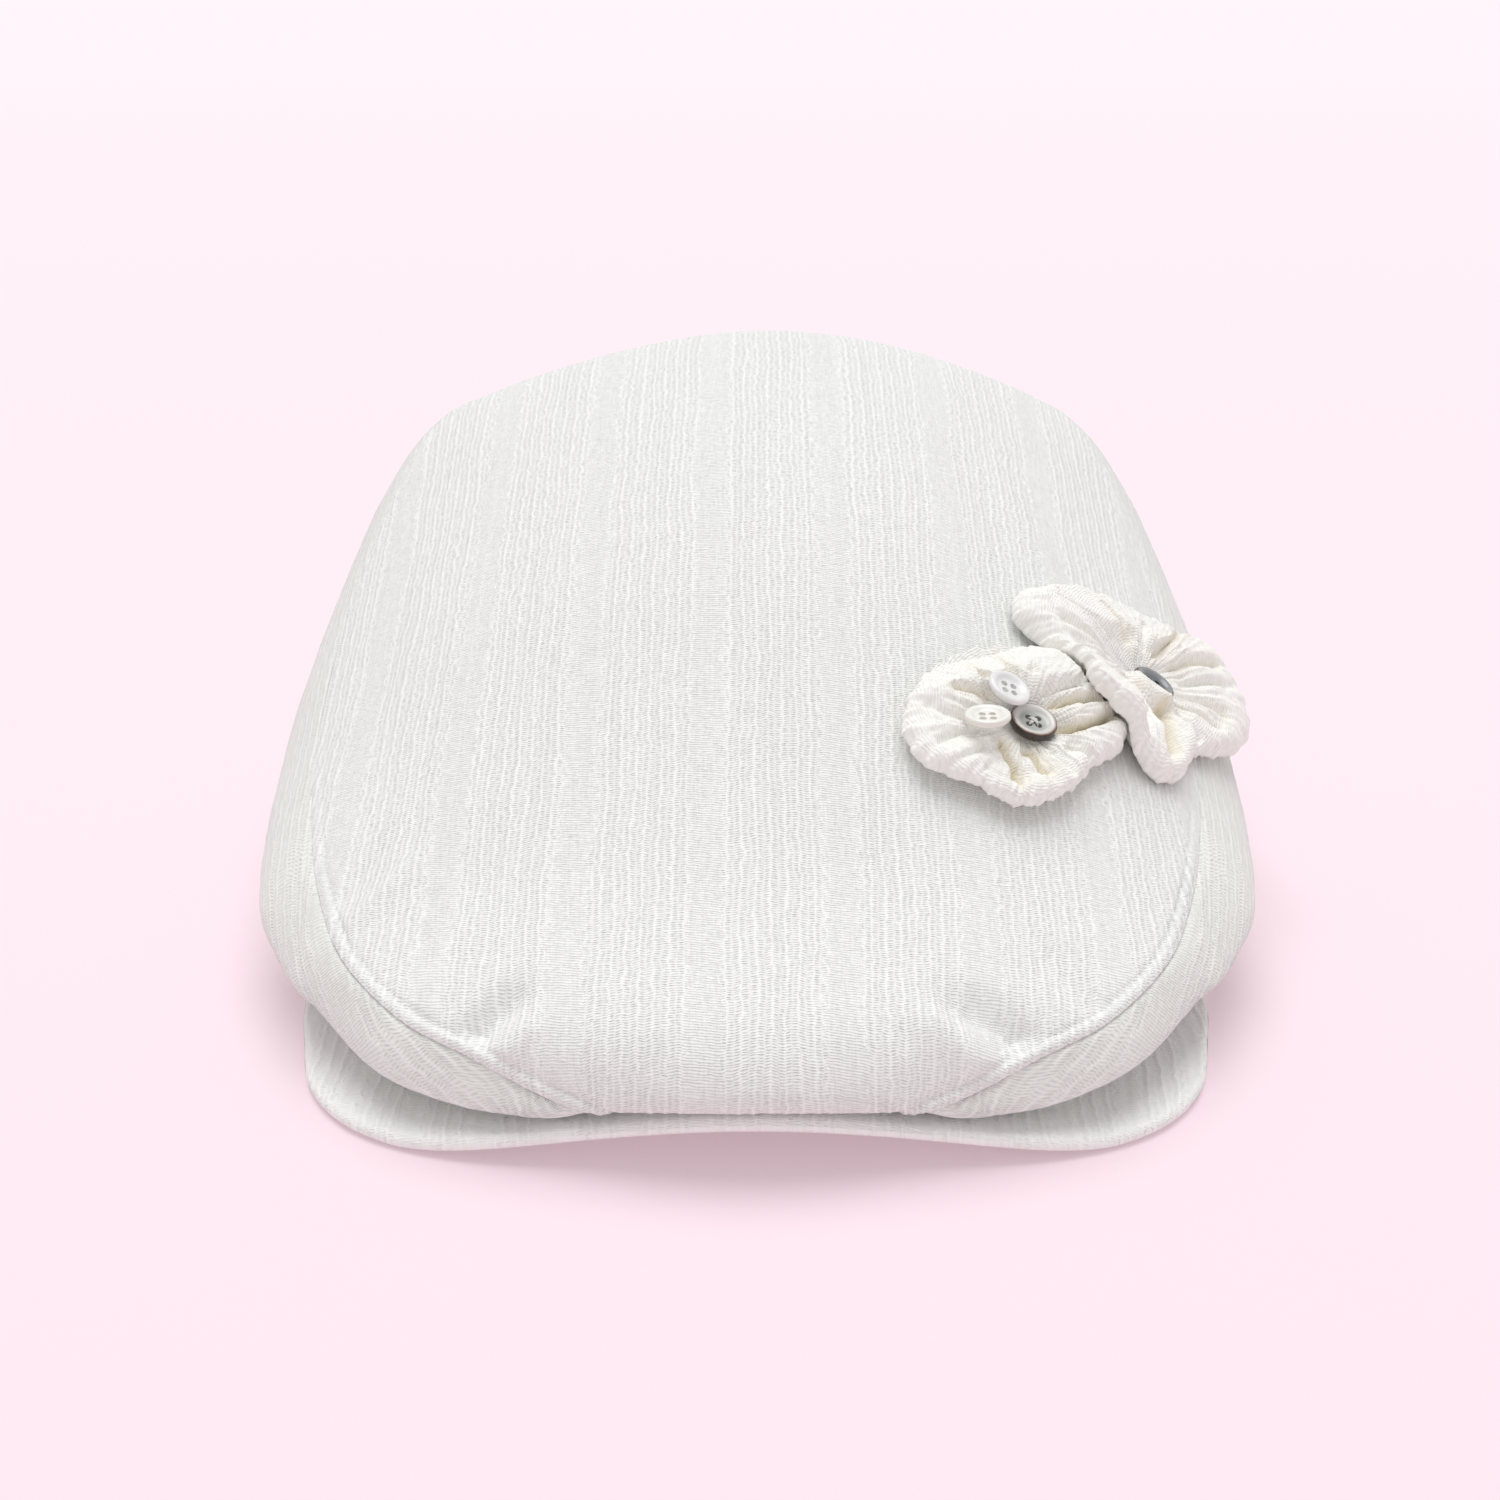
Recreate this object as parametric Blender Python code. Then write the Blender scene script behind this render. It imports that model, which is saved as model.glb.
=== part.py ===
"""A bulky flat cap in off-white crinkled cloth, with two gathered cloth flowers and four buttons.

Sizes are in millimetres and become metres where a mesh is made. X runs across the cap, -Y is its
front, +Z is up. The cap rests on the plane Z = 0, on its rim and on the corners of its peak.
"""

from collections import namedtuple
from math import cos, pi, radians, sin

import bmesh
import bpy
import numpy as np
from mathutils import Vector
from mathutils.bvhtree import BVHTree

MM = 0.001

# Cloth and clearances
CLOTH = 2.0              # wall of the crown, cloth and its backing together
GAP = 0.3                # clear space between neighbouring pieces
HEAD_WIDTH = 168.0       # head opening inside, across
HEAD_LENGTH = 196.0      # head opening inside, front to back
RIM_CENTRE_Y = 147.0     # centre of the opening, behind the front fold
MIDDLE = (1.5, 125.8, 0.0)   # middle of the whole cap's base, from the crown's middle at the front fold

# Peak
PEAK_THICK = 3.0         # stiffener with cloth on both sides
PEAK_ARCH = 8.8          # height of the middle of the peak over its corners
PEAK_ARCH_HALF = 70.0    # half width of the arch
PEAK_END_DEG = 64.0      # where the peak ends on the rim, from the front
PEAK_REACH_DEG = 88.0    # the crown is kept above the peak up to here
PEAK_LIFT = 0.2          # added to GAP between the crown and the peak, because both are curved
PEAK_ROUND = 1.3         # rounding of the peak's outer edge
OVER_PEAK_FADE = (68.0, 82.0)   # degrees on the rim between which it comes down off the peak

# Grids, in points
ACROSS_HALF = 13         # top panel, from the middle to the seam
DOWN_COUNT = 9           # side panel, from the seam to the rim
ROW_STEP = 0.5           # of a section, along the crown
PEAK_COUNT = 33          # along the peak
PETAL_COUNT = 36         # round a flower
RING_COUNT = 8           # from a flower's middle to its edge
BUTTON_SIDES = 16        # round a button

# Crown, one row for each section from the front rim over the front fold to the back.
# centre is the middle of the top panel, seam the joint of top and side panel, wide the
# outermost point of the side panel below it, and rim_deg the place on the rim where that
# section ends, in degrees from the front. y is measured behind the front fold.
Section = namedtuple("Section", "centre_y centre_z seam_x seam_y seam_z wide_x wide_y wide_z rim_deg")
SECTIONS = [
    Section(46.8, 12.7, 22.0, 49.6, 11.7, 23.5, 49.2, 11.3, 16.5),
    Section(26.0, 12.6, 24.0, 27.5, 11.6, 26.5, 30.0, 11.1, 24.0),
    Section(6.0, 12.4, 27.5, 8.0, 11.6, 31.0, 14.0, 10.9, 30.0),
    Section(-2.0, 16.6, 32.0, 3.0, 12.9, 35.0, 4.6, 11.0, 34.0),
    Section(0.0, 22.6, 41.0, 5.0, 15.6, 43.5, 4.2, 12.6, 39.0),
    Section(6.0, 28.2, 54.0, 9.8, 20.5, 58.0, 9.4, 15.6, 45.0),
    Section(14.0, 32.0, 68.0, 18.0, 23.5, 73.0, 16.5, 17.0, 52.0),
    Section(25.0, 36.5, 81.0, 33.0, 27.0, 88.0, 31.0, 19.0, 60.0),
    Section(40.0, 43.2, 88.0, 49.0, 29.8, 98.0, 47.5, 21.0, 67.0),
    Section(60.0, 54.4, 93.5, 69.0, 33.5, 105.0, 68.0, 22.5, 75.0),
    Section(82.0, 67.4, 97.0, 92.0, 39.5, 109.0, 92.0, 24.5, 84.0),
    Section(106.0, 81.0, 98.5, 116.0, 47.0, 110.5, 117.0, 26.5, 94.0),
    Section(132.0, 92.2, 96.5, 141.0, 58.0, 110.0, 143.0, 29.5, 104.0),
    Section(160.0, 101.0, 92.5, 167.0, 69.5, 106.5, 170.0, 33.0, 114.0),
    Section(187.0, 106.2, 87.0, 191.0, 80.5, 100.0, 196.0, 37.0, 124.0),
    Section(208.0, 108.0, 79.5, 211.0, 87.5, 90.0, 219.0, 41.0, 134.0),
    Section(227.0, 104.6, 67.0, 227.0, 88.0, 77.0, 235.5, 44.0, 144.0),
    Section(240.0, 95.0, 52.0, 237.0, 87.5, 59.5, 245.5, 46.0, 153.0),
    Section(246.5, 84.0, 38.0, 242.0, 83.0, 43.5, 250.0, 47.0, 161.0),
]
LAST = len(SECTIONS) - 1
BACK_BULGE = 3.5         # how far the back stands out past the last section
LEFT_BULGE = 1.1         # how much fuller the wearer's left side is than the right one
CREST_SHIFT = 0.05       # of the half width, the crest's lean to the wearer's left at the back
SQUARENESS = {0: 2.0, 4: 2.2, 9: 2.3, 13: 1.9, LAST: 1.9}   # by section, how late the top falls to its seam

# Dents and raised folds of the top panel, each one long and round-ended. turn is its direction
# in degrees from X, depth is down into the crown, and a fold that stands up has a negative depth.
Dent = namedtuple("Dent", "name x y length width turn depth")
DENTS = [
    Dent("right front dent", -51.5, 17.5, 19.0, 8.0, 62.0, 2.6),
    Dent("right front fold", -46.5, 11.5, 19.0, 6.0, 52.0, -1.5),
    Dent("left front dent", 44.0, 14.0, 24.0, 8.0, 160.0, 2.6),
    Dent("left front fold", 42.0, 8.0, 22.0, 6.0, 165.0, -1.5),
    Dent("right corner fold", -77.0, 47.0, 24.0, 7.0, 45.0, -1.2),
]

# Flowers. x and y place the middle on the crown, facing is the direction that the flower faces, and
# seat, crest and edge are its thickness there. A petal row gives the edge at one angle, counted from
# the flower's right: how far out it reaches and how far it lifts off what is under it.
Petal = namedtuple("Petal", "degrees reach lift")
Flower = namedtuple("Flower", "name x y facing seat crest edge gathers petals")
FLOWERS = [
    Flower("flower_front", 55.5, 78.5, (0.33, -0.42, 0.845), 1.8, 7.0, 2.0, 11, [
        Petal(-171, 27.0, 1.5), Petal(-149, 27.5, 1.0), Petal(-130, 22.5, 1.5), Petal(-102, 22.0, 0.6),
        Petal(-60, 17.5, 1.5), Petal(-29, 16.0, 2.0), Petal(2, 23.5, 1.0), Petal(42, 20.5, 2.5),
        Petal(72, 22.0, 1.5), Petal(104, 20.5, 2.5), Petal(140, 22.0, 1.5), Petal(168, 24.0, 2.5)]),
    Flower("flower_side", 84.0, 107.0, (0.50, -0.32, 0.805), 2.2, 8.0, 2.0, 12, [
        Petal(-175, 27.5, 1.0), Petal(-156, 21.5, 1.0), Petal(-124, 22.0, 1.0), Petal(-87, 28.5, 0.6),
        Petal(-50, 20.5, 1.5), Petal(-24, 24.5, 2.0), Petal(7, 34.5, 4.0), Petal(38, 33.0, 3.0),
        Petal(60, 25.0, 2.0), Petal(84, 21.5, 1.0), Petal(112, 23.0, 1.0), Petal(140, 28.0, 1.5),
        Petal(166, 34.0, 1.5)]),
]

CREST_PLACE = 2.8        # exponent that moves a flower's crest out from the middle, past its buttons
CREASE = 0.16            # of the height, the gathers
DROP = 7.0               # how far a flower follows what falls away under its edge
LOOK_FROM = 60.0         # height from which the surface under a flower or button is looked for

# Buttons. across and up place the middle on its flower's own plane, facing is its direction.
Button = namedtuple("Button", "name flower across up facing width thick")
BUTTONS = [
    Button("button_dark_front", 0, 1.5, -1.0, (0.22, -0.30, 0.92), 10.2, 2.2),
    Button("button_clear", 0, -5.5, 5.2, (0.36, -0.40, 0.81), 9.6, 1.8),
    Button("button_cream", 0, -8.6, -7.4, (0.02, -0.14, 0.98), 9.6, 1.8),
    Button("button_dark_side", 1, 1.3, -3.8, (0.50, -0.12, 0.86), 10.2, 2.2),
]
BUTTON_HOLE = 1.6        # width of a thread hole
BUTTON_HOLE_OUT = 1.5    # from the button's middle to a hole's
HOLE_SIDES = 8           # round a thread hole
BUTTON_RIM = 0.2         # of its width, the raised rim
BUTTON_ROUND = 0.45      # bevel of the rim
BUTTON_DISH = 0.7        # depth of the face inside the rim

# Outer edge of the peak, half of it, from the middle to its end. y is behind the front fold.
EdgePoint = namedtuple("EdgePoint", "x y")
PEAK_EDGE = [
    EdgePoint(0.0, 1.4), EdgePoint(22.0, 1.9), EdgePoint(44.0, 3.6), EdgePoint(60.0, 6.2),
    EdgePoint(72.5, 10.6), EdgePoint(82.5, 18.0), EdgePoint(89.7, 29.0), EdgePoint(93.6, 43.0),
    EdgePoint(95.3, 60.0), EdgePoint(92.6, 78.0), EdgePoint(84.5, 94.0),
]


def spline(knots, values, at):
    """Values of a smooth curve through the table values, at the given places."""
    knots = np.asarray(knots, float)
    values = np.asarray(values, float)
    at = np.asarray(at, float)
    steps = np.diff(knots)
    slopes = np.diff(values) / steps
    inner = (slopes[1:] * steps[:-1] + slopes[:-1] * steps[1:]) / (steps[:-1] + steps[1:])
    first = 1.5 * slopes[0] - 0.5 * inner[0]
    last = 1.5 * slopes[-1] - 0.5 * inner[-1]
    tangents = np.concatenate([[first], inner, [last]])
    i = np.clip(np.searchsorted(knots, at, side="right") - 1, 0, len(steps) - 1)
    t = (at - knots[i]) / steps[i]
    start = values[i] * (1 + 2 * t) + steps[i] * t * tangents[i]
    end = values[i + 1] * (3 - 2 * t) - steps[i] * (1 - t) * tangents[i + 1]
    return start * (1 - t) ** 2 + end * t ** 2


def column(name, row):
    """One column of the section table, read at any place between its rows."""
    return spline(range(len(SECTIONS)), [getattr(section, name) for section in SECTIONS], row)


def unit(vectors):
    """The vectors at length one."""
    return vectors / np.linalg.norm(vectors, axis=-1, keepdims=True)


def top_point(row, across):
    """Outer face of the top panel: row from 0 at the front rim to LAST, across from -1 to 1."""
    shift = CREST_SHIFT * np.interp(row, [6, 12, LAST], [0, 1, 1])
    q = np.abs(across - shift * (1 - across ** 2))
    squareness = np.interp(row, list(SQUARENESS), list(SQUARENESS.values()))
    x = across * column("seam_x", row)
    y = column("centre_y", row) + (column("seam_y", row) - column("centre_y", row)) * q ** 2
    z = column("centre_z", row) + (column("seam_z", row) - column("centre_z", row)) * q ** squareness
    return np.stack([x, y, z], -1)


def dent_depth(x, y):
    """How far the dents take the top panel in at a place, less where a fold stands up."""
    total = 0 * x
    for dent in DENTS:
        turn = radians(dent.turn)
        along = (x - dent.x) * cos(turn) + (y - dent.y) * sin(turn)
        aside = (y - dent.y) * cos(turn) - (x - dent.x) * sin(turn)
        total += dent.depth * np.exp(-(2 * along / dent.length) ** 4 - (2 * aside / dent.width) ** 2)
    return total


def peak_floor(x):
    """Height of the peak's underside over the floor, arched in the middle."""
    return PEAK_ARCH * np.clip(1 - (x / PEAK_ARCH_HALF) ** 2, 0, None) ** 1.6


def rim_point(degrees, inset=0.0):
    """Point on the rim's outer edge, or inset from it, raised over the peak at the front."""
    angle = np.radians(degrees)
    x = (HEAD_WIDTH / 2 + CLOTH - inset) * np.sin(angle)
    y = RIM_CENTRE_Y - (HEAD_LENGTH / 2 + CLOTH - inset) * np.cos(angle)
    over_peak = 1 - np.interp(degrees, OVER_PEAK_FADE, (0, 1))
    over_peak = over_peak ** 2 * (3 - 2 * over_peak)
    z = over_peak * (peak_floor(x) + PEAK_THICK + GAP + PEAK_LIFT)
    return np.stack([x, y, z], -1)


def side_section(row):
    """The five points that one section of the left side panel runs through, the first on the top panel.

    row goes on past LAST, along the top panel's back edge, up to LAST + 1 at the middle of the back.
    """
    along = np.minimum(row, LAST)
    back = np.clip(row - LAST, 0, 1)
    seam = top_point(along, 1 - back)
    lead = top_point(along - 0.6 * back, (1 - back) * 0.9)
    wide = np.stack([column(name, along) for name in ("wide_x", "wide_y", "wide_z")], -1)
    wide[..., 0] *= 1 - back
    wide[..., 1] += BACK_BULGE * (1 - (1 - back) ** 2)
    rim = rim_point(column("rim_deg", along) + back * (180 - SECTIONS[-1].rim_deg))
    under = wide + (rim - wide) * np.array([0.32, 0.32, 0.68])
    return [lead, seam, wide, under, rim]


def side_point(row, down):
    """Outer face of the left side panel, down from 0 at the seam to 1 at the rim."""
    row, down = np.broadcast_arrays(np.asarray(row, float), np.asarray(down, float))
    points = side_section(row)
    gaps = [np.linalg.norm(b - a, axis=-1) for a, b in zip(points, points[1:])]
    length = sum(gaps[1:])
    places = [-gaps[0] / length, 0 * length, gaps[1] / length, 1 - gaps[3] / length, 1 + 0 * length]
    result = np.empty(row.shape + (3,))
    for index in np.ndindex(row.shape):
        knots = [place[index] for place in places]
        for axis in range(3):
            result[index + (axis,)] = spline(knots, [point[index][axis] for point in points], down[index])
    over_peak = column("rim_deg", np.minimum(row, LAST)) < PEAK_REACH_DEG
    peak_top = peak_floor(result[..., 0]) + PEAK_THICK + GAP + PEAK_LIFT
    result[..., 2] = np.maximum(result[..., 2], np.where(over_peak, peak_top, 0))
    return result


def normals(grid):
    """Directions square to a grid of points, at each point."""
    return unit(np.cross(np.gradient(grid, axis=1), np.gradient(grid, axis=0)))


def new_object(name, vertices, faces, material):
    """Mesh object from points in millimetres, with its faces turned outwards and shaded smooth."""
    mesh = bpy.data.meshes.new(name)
    mesh.from_pydata(((np.asarray(vertices) - MIDDLE) * MM).tolist(), [], faces)
    work = bmesh.new()
    work.from_mesh(mesh)
    bmesh.ops.recalc_face_normals(work, faces=work.faces)
    work.to_mesh(mesh)
    work.free()
    mesh.shade_smooth()
    mesh.set_sharp_from_angle(angle=radians(50))
    mesh.materials.append(material)
    item = bpy.data.objects.new(name, mesh)
    bpy.context.scene.collection.objects.link(item)
    return item


def shell(name, outer, inner, material):
    """Closed wall between two grids of points with the same rows and columns."""
    rows, columns = outer.shape[:2]
    count = rows * columns
    vertices = np.concatenate([outer.reshape(-1, 3), inner.reshape(-1, 3)])
    faces = []
    for r in range(rows - 1):
        for c in range(columns - 1):
            a = r * columns + c
            quad = [a, a + 1, a + columns + 1, a + columns]
            faces.append(quad)
            faces.append([count + i for i in reversed(quad)])
    edge = [c for c in range(columns)]
    edge += [r * columns + columns - 1 for r in range(1, rows)]
    edge += [(rows - 1) * columns + c for c in reversed(range(columns - 1))]
    edge += [r * columns for r in reversed(range(1, rows - 1))]
    for a, b in zip(edge, edge[1:] + edge[:1]):
        faces.append([b, a, count + a, count + b])
    return new_object(name, vertices, faces, material)


def plain_material(name, colour, roughness):
    """Plain material with the piece's colour, roughness and no metal."""
    material = bpy.data.materials.new(name)
    material.use_nodes = True
    shader = material.node_tree.nodes["Principled BSDF"]
    shader.inputs["Base Color"].default_value = (*colour, 1.0)
    shader.inputs["Roughness"].default_value = roughness
    shader.inputs["Metallic"].default_value = 0.0
    return material


def crown_rows():
    """Places of the grid rows along the crown, closer together round the front fold."""
    return np.concatenate([[0, 1], np.arange(1.8, 4.9, 0.4), np.arange(5, LAST + 0.01, ROW_STEP)])


def draw_back(edge, inside):
    """The points of an edge moved along the surface, towards the points inside it, by half the gap."""
    return edge + GAP / 2 * unit(inside - edge)


def crown_panels(material):
    """The top panel and both side panels, with one shared direction of the wall along their seam."""
    rows = crown_rows()
    across = np.linspace(-1, 1, 2 * ACROSS_HALF + 1)
    top = top_point(rows[:, None], across[None, :])
    top_face = normals(top)
    depth = dent_depth(top[..., 0], top[..., 1]) * (top_face[..., 2] > 0)
    back_edge = across[ACROSS_HALF:-1][::-1]
    side_rows = np.concatenate([rows, LAST + 1 - back_edge])
    side = side_point(side_rows[:, None], np.linspace(0, 1, DOWN_COUNT)[None, :])
    side_face = normals(side)

    seam_face = unit(side_face[:, 0] + np.concatenate([top_face[:, -1], top_face[-1, ACROSS_HALF:-1][::-1]]))
    side_face[:, 0] = seam_face
    top_face[:, -1] = seam_face[:len(rows)]
    top_face[-1, ACROSS_HALF:-1] = seam_face[len(rows):][::-1]
    top_face[:, :ACROSS_HALF] = top_face[:, :ACROSS_HALF:-1] * [-1, 1, 1]
    top_face[-1, ACROSS_HALF, 0] = 0
    side_face[-1, :, 0] = 0

    top -= depth[..., None] * top_face
    top[-1] = draw_back(top[-1], top[-2])
    for edge, inside in ((0, 1), (-1, -2)):
        top[:, edge] = draw_back(top[:, edge], top[:, inside])
    shell("top_panel", top, top - CLOTH * unit(top_face), material)

    side[:, 0] = draw_back(side[:, 0], side[:, 1])
    side[-1, :, 0] = GAP / 2
    inner = side - CLOTH * unit(side_face)
    degrees = column("rim_deg", np.minimum(side_rows, LAST))
    degrees += np.clip(side_rows - LAST, 0, 1) * (180 - SECTIONS[-1].rim_deg)
    inner[:, -1] = rim_point(degrees, CLOTH)
    inner[:, -1, 2] = side[:, -1, 2]
    inner[-1, :, 0] = GAP / 2
    bulge = np.interp(side_rows, [4, 7, 12, 15], [0, LEFT_BULGE, LEFT_BULGE, 0])[:, None]
    bulge = bulge * np.sin(pi * np.linspace(0, 1, DOWN_COUNT)) ** 2
    fuller = np.stack([bulge, 0 * bulge, 0 * bulge], -1)
    shell("side_panel_left", side + fuller, inner + fuller, material)
    shell("side_panel_right", side * [-1, 1, 1], inner * [-1, 1, 1], material)


def peak(material):
    """The cloth-covered peak: its rounded section carried along from one end to the other."""
    places = np.linspace(1 - len(PEAK_EDGE), len(PEAK_EDGE) - 1, PEAK_COUNT)
    index = range(len(PEAK_EDGE))
    out_x = np.sign(places) * spline(index, [point.x for point in PEAK_EDGE], np.abs(places))
    out_y = spline(index, [point.y for point in PEAK_EDGE], np.abs(places))
    root = rim_point(places / index[-1] * PEAK_END_DEG, CLOTH)
    depth = np.hypot(out_x - root[:, 0], out_y - root[:, 1])
    loops = []
    for x, y, start, reach in zip(out_x, out_y, root, depth):
        edge = 1 - PEAK_ROUND / reach
        section = [(0, 0), (0.33, 0), (0.66, 0), (edge, 0), (1 - 0.3 * (1 - edge), 0.2), (1, 0.5)]
        section += [(part, 1 - height) for part, height in reversed(section[:-1])]
        share = np.array([part for part, _ in section])
        loop_x = start[0] + (x - start[0]) * share
        loop_y = start[1] + (y - start[1]) * share
        loop_z = peak_floor(loop_x) + PEAK_THICK * np.array([height for _, height in section])
        loops.append(np.stack([loop_x, loop_y, loop_z], -1))
    swept("peak", np.array(loops), material)


def swept(name, loops, material):
    """Closed solid through a row of closed loops, with flat ends."""
    count = loops.shape[1]
    faces = [list(range(count)), [(len(loops) - 1) * count + i for i in reversed(range(count))]]
    for r in range(len(loops) - 1):
        for c in range(count):
            a, b = r * count + c, r * count + (c + 1) % count
            faces.append([a, a + count, b + count, b])
    return new_object(name, loops.reshape(-1, 3), faces, material)


def tree_of(items):
    """Search tree over the faces of the objects, in millimetres behind the front fold."""
    points, faces = [], []
    for item in items:
        start = len(points)
        points += [vertex.co / MM + Vector(MIDDLE) for vertex in item.data.vertices]
        faces += [[start + i for i in face.vertices] for face in item.data.polygons]
    return BVHTree.FromPolygons(points, faces)


def plane_axes(facing):
    """Right, up and outward directions of a plane that faces the given way."""
    out = unit(np.array(facing, float))
    right = unit(np.array([1.0, 0, 0]) - out[0] * out)
    return right, np.cross(out, right), out


def height_over(tree, origin, out, lowest):
    """Height of the topmost face over a point of a plane, along its outward direction."""
    distance = tree.ray_cast(Vector(origin + LOOK_FROM * out), Vector(-out))[3]
    return lowest if distance is None else max(lowest, LOOK_FROM - distance)


def flower_frame(flower, tree):
    """The point of the cap under a flower's middle, and the flower's three directions."""
    foot = tree.ray_cast(Vector((flower.x, flower.y, LOOK_FROM * 2)), Vector((0, 0, -1)))[0]
    return np.array(foot), plane_axes(flower.facing)


def flower_body(flower, foot, axes, tree, material):
    """One gathered flower: a puffed, creased ring of cloth that lies on what is under it."""
    right, up, out = axes
    angles = np.arange(PETAL_COUNT) * 2 * pi / PETAL_COUNT
    degrees = [petal.degrees for petal in flower.petals]
    knots = [degrees[-1] - 360] + degrees + [degrees[0] + 360]
    turned = (np.degrees(angles) - degrees[0]) % 360 + degrees[0]
    edge = {}
    for name in ("reach", "lift"):
        values = [getattr(petal, name) for petal in flower.petals]
        edge[name] = spline(knots, [values[-1]] + values + [values[0]], turned)
    rings = np.linspace(0, 1, RING_COUNT + 1)[1:]
    share = rings[:, None]
    across = share * edge["reach"] * np.cos(angles)
    along = share * edge["reach"] * np.sin(angles)
    points = foot + across[..., None] * right + along[..., None] * up
    base = np.array([[height_over(tree, point, out, -DROP) for point in ring] for ring in points])
    wide = np.concatenate([base[:1], base, base[-1:]])
    base = np.maximum.reduce([wide[:-2], base, wide[2:], np.roll(base, 1, 1), np.roll(base, -1, 1)])
    under = base + GAP + edge["lift"] * share ** 3
    puff = np.sin(pi * share ** CREST_PLACE)
    crease = 1 + CREASE * np.cos(flower.gathers * angles) * np.sin(pi * share)
    body = flower.seat + (flower.edge - flower.seat) * share ** 2 + (flower.crest - flower.seat) * puff
    top = under + body * crease
    lower = points + under[..., None] * out
    upper = points + top[..., None] * out
    middle = [foot + (under[0].max()) * out, foot + (under[0].max() + flower.seat) * out]
    vertices = np.concatenate([middle, lower.reshape(-1, 3), upper.reshape(-1, 3)])
    faces = []
    for layer in range(2):
        first = 2 + layer * RING_COUNT * PETAL_COUNT
        for c in range(PETAL_COUNT):
            d = (c + 1) % PETAL_COUNT
            faces.append([layer, first + c, first + d])
            for r in range(RING_COUNT - 1):
                a, b = first + r * PETAL_COUNT + c, first + r * PETAL_COUNT + d
                faces.append([a, a + PETAL_COUNT, b + PETAL_COUNT, b])
    low = 2 + (RING_COUNT - 1) * PETAL_COUNT
    high = low + RING_COUNT * PETAL_COUNT
    for c in range(PETAL_COUNT):
        d = (c + 1) % PETAL_COUNT
        faces.append([low + c, low + d, high + d, high + c])
    return new_object(flower.name, vertices, faces, material)


def button_body(button, foot, axes, tree, material):
    """A turned button with a raised rim, a dished face and four thread holes, laid on its flower."""
    right, up, out = axes
    across, along, facing = plane_axes(button.facing)
    centre = foot + button.across * right + button.up * up
    radius = button.width / 2
    spots = [ring * radius * (cos(angle) * across + sin(angle) * along)
             for ring in (0, 0.5, 1.0) for angle in np.arange(0, 2 * pi, pi / 12)]
    highest = max(height_over(tree, centre + spot, facing, -LOOK_FROM) for spot in spots)
    centre = centre + (highest + GAP) * facing
    profile = [(radius, 0), (radius, button.thick - BUTTON_ROUND), (radius - BUTTON_ROUND, button.thick),
               (radius - button.width * BUTTON_RIM + BUTTON_ROUND, button.thick),
               (radius - button.width * BUTTON_RIM, button.thick - BUTTON_DISH)]
    loops = np.array([[(r * cos(turn), r * sin(turn), z) for r, z in profile]
                      for turn in np.arange(BUTTON_SIDES) * 2 * pi / BUTTON_SIDES])
    sides, steps = loops.shape[:2]
    faces = [[c * steps for c in range(sides)], [c * steps + steps - 1 for c in range(sides)]]
    for c in range(sides):
        a, b = c * steps, (c + 1) % sides * steps
        faces += [[a + r, b + r, b + r + 1, a + r + 1] for r in range(steps - 1)]
    frame = np.array([across, along, facing])
    item = new_object(button.name, centre + loops.reshape(-1, 3) @ frame, faces, material)

    points, faces = [], []
    for quarter in range(4):
        middle = BUTTON_HOLE_OUT * np.array([cos(pi / 4 + quarter * pi / 2), sin(pi / 4 + quarter * pi / 2), 0])
        start = len(points)
        for height in (-button.thick, 2 * button.thick):
            points += [middle + [BUTTON_HOLE / 2 * cos(turn), BUTTON_HOLE / 2 * sin(turn), height]
                       for turn in np.arange(HOLE_SIDES) * 2 * pi / HOLE_SIDES]
        faces += [[start + c for c in range(HOLE_SIDES)], [start + HOLE_SIDES + c for c in range(HOLE_SIDES)]]
        for c in range(HOLE_SIDES):
            d = (c + 1) % HOLE_SIDES
            faces.append([start + c, start + d, start + HOLE_SIDES + d, start + HOLE_SIDES + c])
    drill = new_object("drill", centre + np.array(points) @ frame, faces, material)
    cut = item.modifiers.new("thread holes", "BOOLEAN")
    cut.operation = "DIFFERENCE"
    cut.solver = "EXACT"
    cut.object = drill
    cut_item = item.evaluated_get(bpy.context.evaluated_depsgraph_get())
    mesh = bpy.data.meshes.new_from_object(cut_item)
    item.modifiers.clear()
    item.data = mesh
    bpy.data.objects.remove(drill)
    return item


def build():
    """Make every piece of the cap."""
    for item in list(bpy.data.objects):
        bpy.data.objects.remove(item)
    cloth = plain_material("off_white_cloth", (0.86, 0.85, 0.83), 0.85)
    peak_cloth = plain_material("peak_cloth", (0.84, 0.83, 0.81), 0.85)
    flower_cloth = plain_material("cream_cloth", (0.86, 0.83, 0.76), 0.85)
    button_finish = {
        "button_dark_front": plain_material("grey_shell_button", (0.12, 0.11, 0.10), 0.3),
        "button_clear": plain_material("clear_resin_button", (0.90, 0.90, 0.88), 0.1),
        "button_cream": plain_material("cream_resin_button", (0.88, 0.84, 0.74), 0.25),
    }
    button_finish["button_dark_side"] = button_finish["button_dark_front"]

    crown_panels(cloth)
    peak(peak_cloth)
    below = [bpy.data.objects[name] for name in ("top_panel", "side_panel_left")]
    crown = tree_of(below)
    frames = []
    for flower in FLOWERS:
        foot, axes = flower_frame(flower, crown)
        frames.append((foot, axes))
        below.append(flower_body(flower, foot, axes, tree_of(below), flower_cloth))
    for button in BUTTONS:
        foot, axes = frames[button.flower]
        button_body(button, foot, axes, tree_of(below), button_finish[button.name])


build()
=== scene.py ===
"""Looks of a bulky flat cap in crinkled off-white cotton, with two gathered cloth flowers.

The shapes are worked out in millimetres: X across the cap, Y behind its front fold, Z up. They become
metres in the row frame where a mesh is made. Each piece stands for the CAD node of the same name.
"""

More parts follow.
